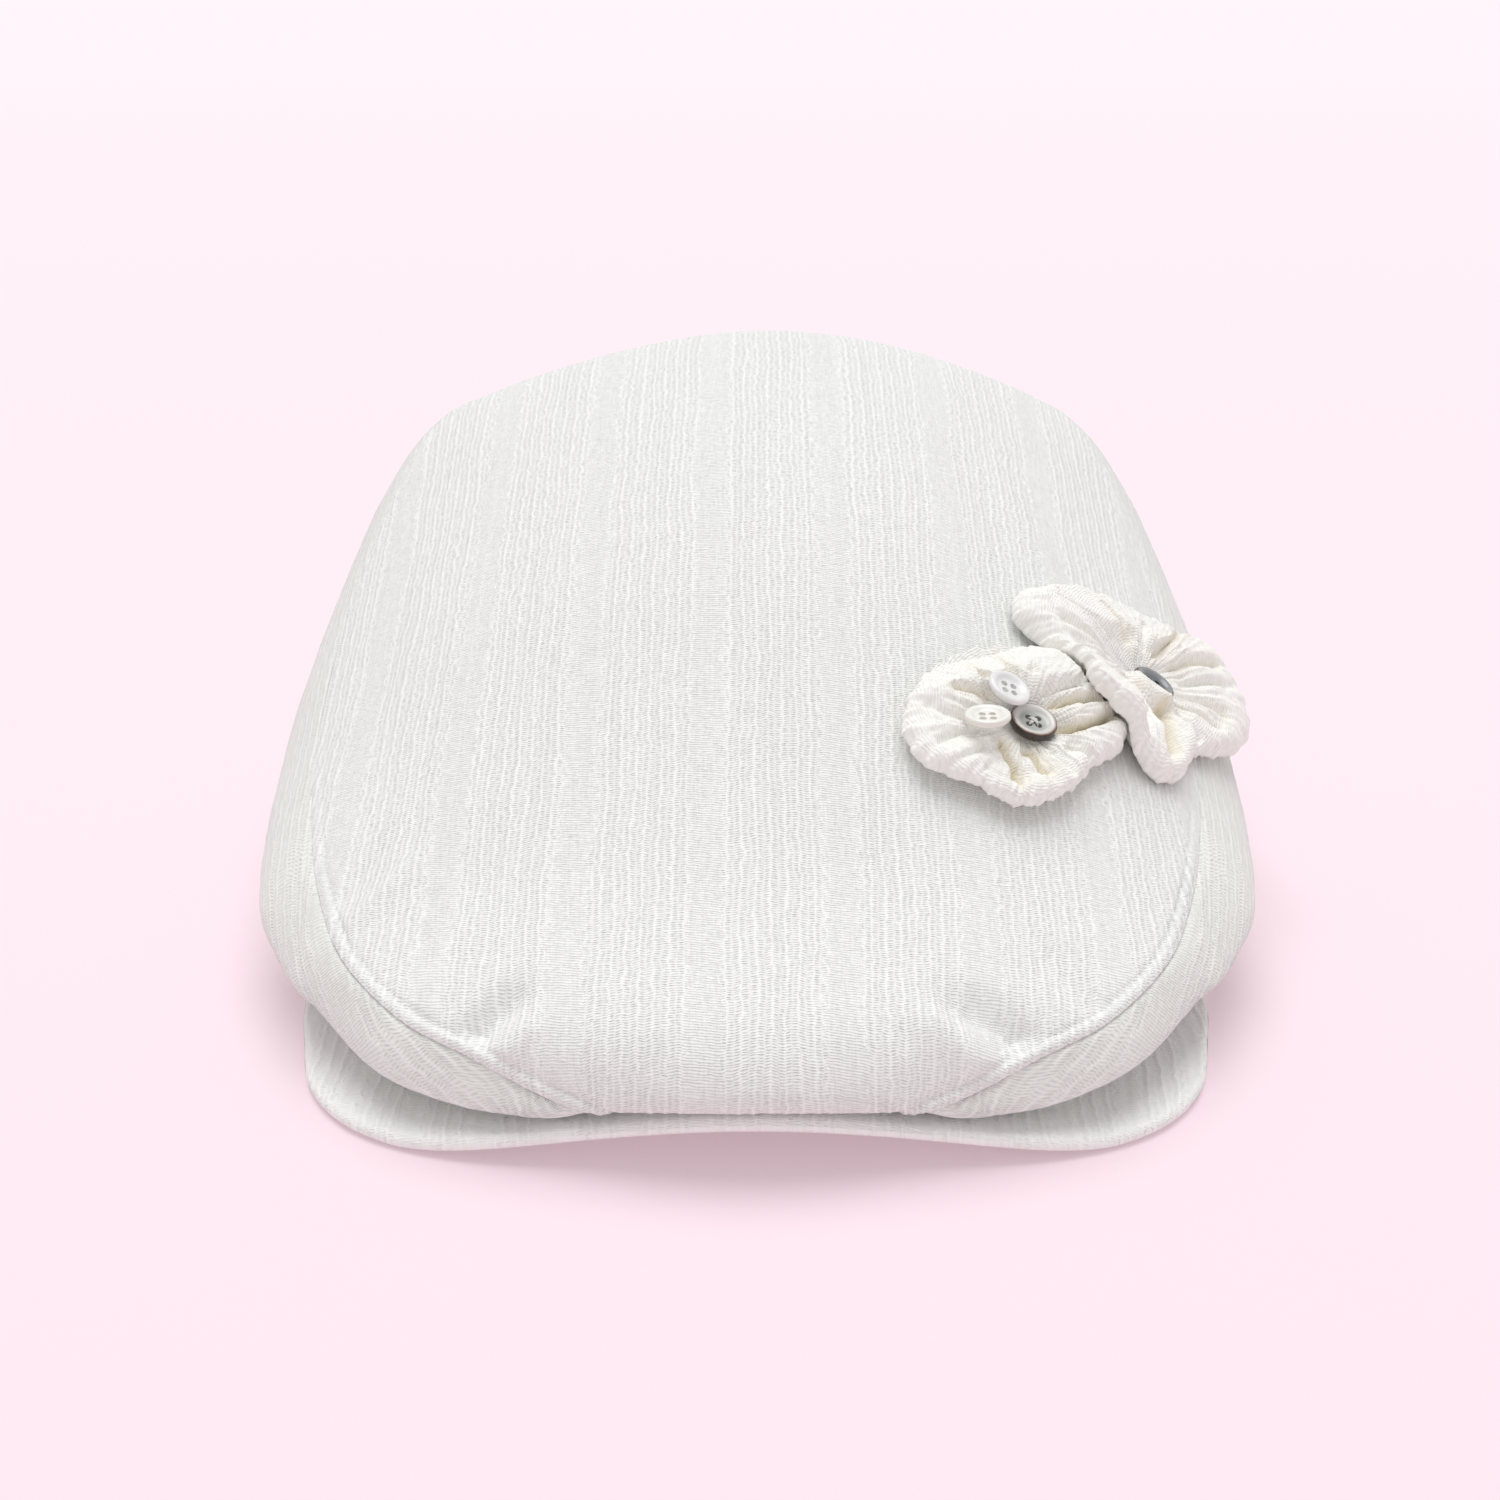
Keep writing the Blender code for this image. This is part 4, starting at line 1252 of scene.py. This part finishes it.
@dataclass
class Flower:
    """A flower gathered from a folded strip of cloth, puffed between its creases round a low middle."""

    name: str
    x: float
    y: float
    facing: tuple[float, float, float]
    seat: float
    edges: tuple[Edge, ...]
    creases: tuple[Crease, ...]
    buttons: tuple[Button, ...]
    cloth: bpy.types.Material
    relief: Relief
    seed: int = 5
    around: int = 480
    rings: int = 84
    strip: float = 20.945
    coarse: tuple[int, int] = (3, 4)
    slack_passes: int = 26
    hang: float = -7.0
    look: float = 60.0
    roll_from: float = 0.74
    edge_waves: tuple[tuple[float, int], ...] = ((0.25, 23), (0.2, 41), (0.13, 89))
    gathers: tuple[tuple[float, int, int], ...] = ((1.0, 24, 3), (0.8, 37, -3), (0.6, 61, 2))
    gather_high: float = 0.20
    billow_high: float = 0.5
    least: float = 0.75

    def surface(self, under: Sequence[bpy.types.Object]) -> tuple[Array, Array, Array, Array]:
        """Work out the two faces of the folded cloth.

        Args:
            under: The pieces that it lies on.

        Returns:
            Points of the upper and the lower face, the flat pattern's coordinates, and the painted shade of the
            creases.
        """
        right, up, out = plane_axes(self.facing)
        tree = mesh_tree(under)
        foot = np.array(tree.ray_cast(Vector((self.x, self.y, 120.0)), Vector((0, 0, -1)))[0])
        angle = circle(self.around)
        table, whole = np.array(self.edges), np.array([360, 0, 0, 0])
        table = np.concatenate([table[-1:] - whole, table, table[:1] + whole])
        turned = (np.degrees(angle) - table[1, 0]) % 360 + table[1, 0]
        reach, lift, puff = (spline(table[:, 0], column, turned) for column in table[:, 1:].T)
        phase = np.random.default_rng(self.seed).uniform(0, TURN, 12)
        reach = reach + sum(size * np.sin(count * angle + start)
                            for (size, count), start in zip(self.edge_waves, phase))
        # The rings lie closer together toward the edge, and the first one leaves a pinhole to cap.
        share = (1 - (1 - np.linspace(0, 1, self.rings)) ** 1.5)[:, None]
        share[0] = 0.015
        turn = angle + 0.06 * np.sin(3 * angle + phase[3]) * share
        plane = share[..., None] * np.stack([reach * np.cos(turn), reach * np.sin(turn)], -1)
        flat = foot + plane @ np.array([right, up])
        carried = np.array([[self.over(tree, point, out) for point in ring] for ring in flat])
        base = np.maximum(self.draped(carried[::self.coarse[0], ::self.coarse[1]]), carried)

        # Low in the middle, puffed between the creases, gathered, and rolled under at the edge.
        keep, tint = self.folded(plane, reach, phase[4])
        rise = self.seat + (puff - self.seat) * smooth(0.10, 0.62, share)
        past = np.clip(share - self.roll_from, 0, 1) / (1 - self.roll_from)
        rolled = np.sqrt(np.clip(1 - past ** 2.2, 0, 1))
        gathers = sum(size * np.sin(count * angle + twist * share + start)
                      for (size, count, twist), start in zip(self.gathers, phase[5:]))
        gathers = gathers * smooth(0.08, 0.3, share) * (1 - 0.6 * smooth(0.35, 0.95, share))
        billows = np.sin(5 * angle + 9 * share + phase[8]) * np.sin(7 * share + 2 * angle + phase[9])
        waves = self.gather_high * gathers + self.billow_high * billows
        raised = lift * share ** 2.5
        height = (rise * keep + waves * smooth(0.1, 0.4, share)) * rolled + raised
        low = base + GAP + 0.9 * raised
        level = self.pressed(flat, base + GAP + 0.35 + np.maximum(height, 0.1), out)
        level = np.maximum(level, low + self.least)
        pattern = np.stack([angle * self.strip + 0 * share, share * reach], -1)
        return flat + level[..., None] * out, flat + low[..., None] * out, pattern, tint

    def folded(self, plane: Array, reach: Array, phase: float) -> tuple[Array, Array]:
        """Lay the creases.

        Args:
            plane: Points on the flower's own plane.
            reach: The flower's reach round its edge.
            phase: Start of the waves in the creases' width.

        Returns:
            The share of its height that the cloth keeps at each point, and the painted shade in the creases.
        """
        keep, tint = np.ones(plane.shape[:2]), np.zeros(plane.shape[:2])
        for crease in self.creases:
            degrees, shares = np.array(crease.points).T
            far = shares * np.interp(degrees, np.degrees(circle(self.around)), reach, period=360)
            line = np.stack([far * np.cos(np.radians(degrees)), far * np.sin(np.radians(degrees))], -1)
            gap, along = self.to_line(plane, line)
            swing = 1 + 0.25 * np.sin(along * 7 + phase) * np.sin(along * 3)
            fade = smooth(0, 0.2, along) * smooth(0, 0.25, 1 - along) + 0.25
            valley = np.clip(fade, 0, 1) * np.exp(-(gap / (crease.width * swing)) ** 1.35)
            keep = keep * (1 - crease.depth * valley)
            # Each crease's painted shade follows its valley.
            tint = np.maximum(tint, crease.tint * valley)
        return keep, tint

    def close_strip(self, item: bpy.types.Object) -> None:
        """Carry the UV map on past the strip's join, so the faces that close the ring aren't squeezed."""
        layer, whole = item.data.uv_layers["cloth"].data, TURN * self.strip
        for face in item.data.polygons:
            corners = [layer[i] for i in face.loop_indices] if len(face.loop_indices) == 4 else []
            if corners and max(c.uv[0] for c in corners) - min(c.uv[0] for c in corners) > whole / 2:
                for corner in corners:
                    corner.uv[0] += whole if corner.uv[0] < whole / 2 else 0.0

    def draped(self, coarse: Array) -> Array:
        """Smooth what lies under the flower as a slack cloth would, and fill it in for every grid point."""
        slack = coarse.copy()
        for _ in range(self.slack_passes):
            padded = np.pad(slack, ((0, 0), (1, 1)), mode="wrap")
            side = (padded[:, :-2] + padded[:, 2:]) / 2
            ends = np.pad(slack, ((1, 1), (0, 0)), mode="edge")
            slack = np.maximum(coarse, (side + (ends[:-2] + ends[2:]) / 2) / 2)
        kept = np.arange(0, self.rings, self.coarse[0])
        rows = np.stack([np.interp(np.arange(self.rings), kept, column) for column in slack.T], 1)
        places = np.arange(self.around) / self.coarse[1]
        return np.stack([np.interp(places, np.arange(len(row)), row, period=len(row)) for row in rows])

    def to_line(self, plane: Array, line: Array) -> tuple[Array, Array]:
        """Distance from points of the flower's plane to a line, and the share walked along it."""
        best, along = np.full(plane.shape[:2], FAR), np.zeros(plane.shape[:2])
        walked = lengths(line, 0)
        for a, b, start, end in zip(line, line[1:], walked, walked[1:]):
            t = np.clip((plane - a) @ (b - a) / ((b - a) @ (b - a)), 0, 1)
            gap = np.linalg.norm(plane - a - t[..., None] * (b - a), axis=-1)
            along = np.where(gap < best, (start + t * (end - start)) / walked[-1], along)
            best = np.minimum(gap, best)
        return best, along

    def over(self, tree: BVHTree, point: Array, out: Array) -> float:
        """Height of what lies under a point of the flower's plane, at the least hang."""
        distance = tree.ray_cast(Vector(point + self.look * out), Vector(-out))[3]
        return self.hang if distance is None else max(self.hang, self.look - distance)

    def pressed(self, flat: Array, level: Array, out: Array) -> Array:
        """Press the cloth down under its buttons, and let it lie over a covered one.

        Args:
            flat: Points on the flower's plane.
            level: Height of the cloth over each of them.
            out: The way the flower faces.

        Returns:
            The new heights.
        """
        for button in self.buttons:
            centre, facing = button.seat()
            plane = ((centre - flat) @ facing) / (out @ facing)
            under = flat + plane[..., None] * out
            aside = np.linalg.norm(under - centre, axis=-1)
            limit = plane - 0.12 + 6.0 * smooth(button.width / 2 - 0.3, button.width / 2 + 3.5, aside)
            level = np.minimum(level, limit)
            if button.covered:
                over = plane + button.thick / (out @ facing) + 0.5
                share = smooth(0.9, 1.9, (under - centre) @ unit(np.array(button.covered)))
                share = share * (1 - smooth(4.6, 7.5, aside))
                level = level + share * np.maximum(over - level, 0)
        return level

    def build(self, under: Sequence[bpy.types.Object]) -> bpy.types.Object:
        """Make the flower.

        Args:
            under: The pieces that it lies on.

        Returns:
            The object.
        """
        top, low, pattern, tint = self.surface(under)
        count, ring = tint.size, list(range(self.around))
        faces = [face for start in (0, count) for face in grid_faces(self.rings, self.around, start, wrap=True)]
        last = count - self.around
        faces += [[last + b, last + a, count + last + a, count + last + b] for a, b in zip(ring, ring[1:] + ring[:1])]
        faces += [ring, [count + i for i in ring]]
        share, turn = np.linspace(0, 1, self.rings)[:, None], np.degrees(circle(self.around))
        joined = 0.1 + 0.9 * smooth(0.5, 7.0, np.minimum(turn, 360.0 - turn))
        # The crease attribute carries the creases' painted shade to the finish.
        item = cloth_object(self.name + "_cloth", np.concatenate([top.reshape(-1, 3), low.reshape(-1, 3)]), faces,
                            self.cloth, np.tile(pattern.reshape(-1, 2), (2, 1)), crease=np.tile(tint, (2, 1)),
                            relief=smooth(0.1, 0.35, share) * (1 - smooth(0.97, 1.0, share)) * joined)
        self.close_strip(item)
        return dressed(self.relief.apply(repaired(item), self.cloth), self.name, "flower_cloth")


def tube(line: Array, radius: float, sides: int) -> Array:
    """Rings of points round a line.

    Args:
        line: Points down the middle.
        radius: The tube's radius.
        sides: Points in each ring.

    Returns:
        One ring for each point of the line.
    """
    ahead = unit(np.gradient(line, axis=0))
    helper = np.where(np.abs(ahead[:, [2]]) < 0.9, [[0, 0, 1.0]], [[1.0, 0, 0]])
    one = unit(np.cross(ahead, helper))
    turn = circle(sides)[:, None]
    return line[:, None] + radius * (np.cos(turn) * one[:, None] + np.sin(turn) * np.cross(ahead, one)[:, None])


@dataclass
class ButtonMaker:
    """Turns a button with a raised rim, a dished face and four holes, and sews it on."""

    thread: bpy.types.Material
    sides: int = 64
    dish: float = 0.75
    hole: float = 0.75
    hole_sides: int = 20
    hole_out: float = 1.5
    strand: float = 0.17
    strand_gap: float = 0.26
    strand_rows: int = 13
    strand_sides: int = 6
    crossings: tuple[tuple[int, int, float], ...] = ((0, 2, 0.30), (1, 3, 0.52))
    sunk: float = 0.7
    pull: float = 0.92

    def build(self, button: Button, sewn: bool) -> None:
        """Make a button and its thread.

        Args:
            button: The button.
            sewn: True where its thread shows.
        """
        centre, _ = button.seat()
        axes = np.array(plane_axes(button.facing))
        radius, thick = button.width / 2, button.thick
        face = thick - self.dish
        profile = [(0.02, 0), (radius - 0.7, 0), (radius - 0.25, 0.15), (radius, 0.55), (radius, thick - 0.6),
                   (radius - 0.12, thick - 0.25), (radius - 0.4, thick - 0.05), (radius - 0.8, thick),
                   (radius - 1.25, thick - 0.08), (radius - 1.6, thick - 0.35), (radius - 1.95, face + 0.08),
                   (radius - 2.4, face), (0.02, face - 0.05)]
        rings = np.array([[(r * math.cos(t), r * math.sin(t), z) for t in circle(self.sides)] for r, z in profile])
        faces = grid_faces(len(profile), self.sides, wrap=True)
        faces += [[*reversed(range(self.sides))], [(len(profile) - 1) * self.sides + c for c in range(self.sides)]]
        uv = np.repeat([[r / radius, z] for r, z in profile], self.sides, 0)
        item = repaired(mesh_object(button.node + "_turned", centre + rings.reshape(-1, 3) @ axes, faces,
                                    button.finish.material(), uv, "turned"))
        self.drill(item, centre, axes, thick)
        item.data.set_sharp_from_angle(angle=math.radians(40))
        dressed(item, button.node, button.slot)
        if sewn:
            self.sew(button.node + "_thread", centre, axes, face)

    def spots(self) -> list[Array]:
        """The middles of the four holes on the button's own plane."""
        return [self.hole_out * np.array([math.cos(t), math.sin(t), 0.0]) for t in circle(4) + TURN / 8]

    def drill(self, item: bpy.types.Object, centre: Array, axes: Array, thick: float) -> None:
        """Cut the four holes through a button with a Boolean, and keep the plain mesh."""
        work = bmesh.new()
        for spot in self.spots():
            pin = bmesh.ops.create_cone(work, cap_ends=True, segments=self.hole_sides, radius1=self.hole,
                                        radius2=self.hole, depth=3 * thick)
            for vertex in pin["verts"]:
                vertex.co = Vector((centre + (np.array(vertex.co) + spot) @ axes - MIDDLE) * MM)
        mesh = bpy.data.meshes.new("drill")
        work.to_mesh(mesh)
        work.free()
        tool = repaired(placed("drill", mesh))
        cut = item.modifiers.new("holes", "BOOLEAN")
        cut.operation, cut.solver, cut.object = "DIFFERENCE", "EXACT", tool
        settled(item)
        bpy.data.objects.remove(tool)

    def sew(self, name: str, centre: Array, axes: Array, face: float) -> None:
        """Lay crossed strands of thread over a button's holes.

        Args:
            name: The thread's name.
            centre: The middle of the button's underside.
            axes: Its three directions.
            face: Height of its dished face.
        """
        points, faces, holes = [], [], self.spots()
        t = np.linspace(0, 1, self.strand_rows)[:, None]
        up = np.array([0, 0, 1.0])
        for first, last, high in self.crossings:
            start, across = holes[first], holes[last] - holes[first]
            rise = up * (face - self.sunk + (high + self.sunk) * np.sin(np.pi * t) ** 0.35)
            for offset in (-self.strand_gap, 0.0, self.strand_gap):
                aside = unit(np.cross(across, up)) * offset
                line = self.pull * (start + across * t) + aside * np.sin(np.pi * t) + rise
                faces += grid_faces(self.strand_rows, self.strand_sides, len(points), wrap=True)
                points += tube(centre + line @ axes, self.strand, self.strand_sides).reshape(-1, 3).tolist()
        item = mesh_object(name, np.array(points), faces, self.thread)
        dressed(repaired(item, close=True), "", "flower_cloth")


@dataclass(frozen=True)
class Studio:
    """Pale floor, soft light and the camera at the photo's angle."""

    floor_half: float = 8.0
    floor_drop: float = 0.0002
    wall_high: float = 12.0
    wall_sides: int = 96
    camera_at: tuple[float, float, float] = (0.0, -340.1, 247.8)
    pitch_deg: float = 25.0
    lens: float = 52.46
    sensor: float = 36.0
    shift_x: float = -0.004
    clip: tuple[float, float] = (0.01, 50.0)
    room: float = 0.585
    room_tint: tuple[float, float, float, float] = (1.0, 0.99, 0.995, 1.0)
    lights: tuple[tuple[str, float, tuple[float, float, float], float], ...] = (
        ("overhead soft box", 1.72, (-0.02, 0.25, 1.0), 50.0), ("front soft box", 0.06, (0.1, -0.9, 0.5), 60.0))

    def build(self) -> None:
        """Set up the stage."""
        scene = bpy.context.scene
        data = bpy.data.cameras.new("camera")
        data.lens, data.sensor_width, data.shift_x = self.lens, self.sensor, self.shift_x
        data.clip_start, data.clip_end = self.clip
        scene.camera = placed("camera", data)
        scene.camera.location = Vector((np.array(self.camera_at) - MIDDLE) * MM)
        scene.camera.rotation_euler = (math.radians(90 - self.pitch_deg), 0, 0)
        scene.view_settings.view_transform = "Standard"

        half = self.floor_half
        floor = self.staged("floor", np.array([(-half, -half, 0), (half, -half, 0), (half, half, 0), (-half, half, 0)]),
                            [[0, 1, 2, 3]], PaintedFloor())
        floor.location.z = -self.floor_drop
        self.backdrop(0.99 * half)
        scene.world = bpy.data.worlds.new("soft room")
        scene.world.use_nodes = True
        fill(scene.world.node_tree.nodes["Background"], {0: self.room_tint, 1: self.room})
        for name, strength, away, width_deg in self.lights:
            light = bpy.data.lights.new(name, "SUN")
            light.energy, light.angle = strength, math.radians(width_deg)
            placed(name, light).rotation_euler = Vector(away).to_track_quat("Z", "Y").to_euler()

    def staged(self, name: str, points: Array, faces: list[list[int]], finish: Finish) -> bpy.types.Object:
        """Make a piece of the studio from points in metres."""
        item = mesh_object(name, points / MM + MIDDLE, faces, finish.material())
        return item

    def backdrop(self, radius: float) -> None:
        """Stand a paper wall round the floor, which only the camera sees, so that it lights nothing.

        Args:
            radius: The wall's radius in metres.
        """
        points = np.array([(radius * math.cos(t), radius * math.sin(t), z)
                           for z in (-0.01, self.wall_high) for t in circle(self.wall_sides)])
        wall = self.staged("backdrop", points, grid_faces(2, self.wall_sides, wrap=True, flip=True), LitPaper())
        for rays in ("diffuse", "glossy", "transmission", "volume_scatter", "shadow"):
            setattr(wall, "visible_" + rays, False)


FRONT_EDGES = tuple(Edge(*row) for row in (
    (-171, 27.0, 2.6, 4.4), (-149, 27.5, 3.6, 4.9), (-130, 23.0, 4.0, 4.4), (-102, 22.5, 3.2, 4.8),
    (-60, 18.0, 3.4, 4.9), (-29, 16.5, 3.0, 4.9), (2, 23.5, 2.0, 6.2), (42, 20.5, 2.5, 7.0),
    (72, 22.0, 1.5, 7.4), (104, 20.5, 2.5, 6.6), (140, 22.0, 1.5, 6.2), (168, 24.0, 2.5, 5.2)))
FRONT_CREASES = tuple(Crease(*row) for row in (
    (((-142, 0.26), (-128, 0.42), (-118, 0.52), (-106, 0.70), (-100, 0.88)), 0.85, 1.3, 0.8),
    (((-95, 0.30), (-87, 0.42), (-82, 0.62), (-80, 0.80)), 0.85, 1.4, 0.9),
    (((-20, 0.25), (4, 0.50), (12, 0.74), (19, 0.98)), 0.85, 1.1, 1.0),
    (((50, 0.30), (36, 0.55), (29, 0.72), (27, 0.92)), 0.55, 1.1, 0.7),
    (((66, 0.36), (50, 0.62), (43, 0.92)), 0.50, 1.5),
    (((-152, 0.36), (-155, 0.62), (-152, 0.92)), 0.55, 1.6),
    (((-168, 0.40), (-172, 0.70), (-178, 0.95)), 0.35, 1.5),
    (((150, 0.36), (160, 0.55), (166, 0.80)), 0.45, 1.2, 0.5),
    (((140, 0.55), (134, 0.85)), 0.5, 1.5, 0.3),
    (((112, 0.45), (108, 0.90)), 0.5, 1.4, 0.3),
    (((88, 0.50), (84, 0.85)), 0.35, 1.3),
    (((-122, 0.62), (-124, 0.95)), 0.35, 1.2),
    (((-134, 0.55), (-138, 0.92)), 0.25, 1.0),
    (((-60, 0.45), (-58, 0.95)), 0.35, 1.3),
    (((-34, 0.55), (-31, 1.0)), 0.6, 1.3)))
SIDE_EDGES = tuple(Edge(*row) for row in (
    (-175, 28.5, 1.0, 6.8), (-155, 24.0, 1.0, 7.4), (-138, 25.5, 1.0, 7.6), (-118, 25.5, 1.0, 7.4),
    (-87, 28.5, 0.6, 6.2), (-50, 20.5, 1.5, 5.6), (-24, 24.5, 2.0, 5.2), (7, 34.5, 4.0, 5.6), (38, 33.0, 3.0, 6.0),
    (60, 25.0, 2.0, 6.0), (84, 21.5, 1.0, 6.0), (112, 23.0, 1.0, 6.2), (140, 28.0, 1.5, 6.6), (166, 34.0, 1.5, 7.0)))
SIDE_CREASES = tuple(Crease(*row) for row in (
    (((-118, 0.26), (-127, 0.46), (-138, 0.66), (-150, 0.86)), 0.75, 1.5, 0.7),
    (((-66, 0.30), (-76, 0.46), (-80, 0.62), (-84, 0.90)), 0.9, 1.6, 0.9),
    (((-34, 0.30), (-22, 0.55), (-14, 0.85)), 0.5, 1.5, 0.2),
    (((0, 0.26), (1, 0.45), (-2, 0.80)), 0.5, 1.3, 0.2),
    (((18, 0.28), (20, 0.50), (21, 0.85)), 0.45, 1.3),
    (((40, 0.30), (37, 0.55), (33, 0.90)), 0.5, 1.4, 0.3),
    (((66, 0.32), (60, 0.60), (57, 0.98)), 0.65, 1.4, 0.4),
    (((-50, 0.48), (-48, 1.0)), 0.55, 1.4),
    (((90, 0.35), (86, 0.85)), 0.4, 1.4),
    (((112, 0.32), (118, 0.60), (122, 0.92)), 0.45, 1.5, 0.3),
    (((140, 0.30), (150, 0.55), (157, 0.90)), 0.35, 1.5),
    (((176, 0.28), (178, 0.50), (172, 0.80)), 0.30, 1.4),
    (((-158, 0.36), (-168, 0.60), (-172, 0.85)), 0.35, 1.6),
    (((-100, 0.40), (-102, 0.90)), 0.28, 1.3)))
DARK_FRONT = Button("button_dark_front", "dark_button", (0.22, -0.30, 0.92), 10.2, 2.2, TurnedResin(
    "cast resin, turned, smoke grey", "AEB1AB", "D6D4D1", "A08874", "2C1D16"))
CLEAR = Button("button_clear", "clear_button", (0.42, -0.26, 0.87), 9.6, 1.5, TurnedResin(
    "cast resin, moulded clear", "FFFFFF", "FFFFFF", "FFFFFF", "FFFFFF", 0.08, 0.2, 1.45))
CREAM = Button("button_cream", "cream_button", (-0.02, 0.0, 1.0), 9.6, 1.6, TurnedResin(
    "cast resin, moulded cream", "FDFBF4", "FFFFFA", "FFFFFA", "FCF9F0", 0.2, 0.15, 1.45))
# The side button is the same smoke-grey resin as the front one, painted darker for the shade it sits in among the
# petals.
DARK_SIDE = Button("button_dark_side", "dark_button", (0.50, -0.12, 0.86), 10.2, 2.2, TurnedResin(
    "cast resin, turned, dark smoke", "5E6367", "8D9093", "6E5A4C", "241813"), (-0.45, -0.80, -0.1))


def main() -> None:
    """Build the cap piece by piece and set up the studio."""
    logging.basicConfig(level=logging.INFO, format="%(name)s: %(message)s")
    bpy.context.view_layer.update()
    form = CrownForm()
    cotton = CrinkledCotton().material()
    # The peak's cotton is a copy with painted light: a paler shade tone and shallower gaps, against the crown's shadow
    # on the peak.
    lit_peak_cotton = CrinkledCotton("crinkled cotton, drawn over the peak", light="FFFFFE", shade="F0F0ED",
                                 gap_depth=0.4, line=0.34, band_repeat=14.0, band_width=5.0).material()
    # The side panels' cotton is a copy with painted shade: its light tone a little darker than the crown's.
    shaded_side_cotton = CrinkledCotton("crinkled cotton, stretched along the side", light="F5F7F3", shade="D0D2CD",
                                 band_offset=2.0, gap_depth=0.44, stripe=0.10, line=0.20, slant=0.6).material()
    # The crepe's crevice colour is painted shade for the flowers' deep creases.
    crepe = CrinkledCotton("crinkled cotton, gathered", light="FFFEFA", shade="F2F0E9", crevice="ECE1C6",
                           gap_depth=0.38, line=0.20, rung=0.66, relief=0.38, band_repeat=19.0, band_width=12.0,
                           seed=8.0).material()
    thread = SpunThread().material()

    top = TopPanel(form, cotton, Relief())
    panel = top.build()
    Stitching().build("seam_topstitching", top.stitch_lines(panel), thread)
    side_relief = Relief(rib_height=0.13, crinkle=0.6, crepe=0.35, band_offset=2.0)
    left_panel, right_panel = (SidePanel(form, shaded_side_cotton, side_relief, side).build() for side in Side)
    cover = Peak(form, lit_peak_cotton, Relief(rib_height=0.2, crinkle=0.12, band_width=3.0)).build()

    petal_relief = Relief(rib_height=0.13, crinkle=0.42, crepe=1.1, band_repeat=19.0, seed=8.0)
    front = Flower("flower_front", 55.5, 78.5, (0.33, -0.42, 0.845), 1.4, FRONT_EDGES, FRONT_CREASES,
                   (DARK_FRONT, CLEAR, CREAM), crepe, petal_relief).build([panel, left_panel])
    side = Flower("flower_side", 84.0, 107.0, (0.50, -0.32, 0.805), 1.8, SIDE_EDGES, SIDE_CREASES,
                  (DARK_SIDE,), crepe, petal_relief, seed=11).build([panel, left_panel, front])

    maker = ButtonMaker(thread)
    for button in (DARK_FRONT, CLEAR, CREAM, DARK_SIDE):
        maker.build(button, sewn=button is DARK_FRONT)

    Studio().build()
    bpy.context.view_layer.update()


if __name__ == "__main__":
    main()
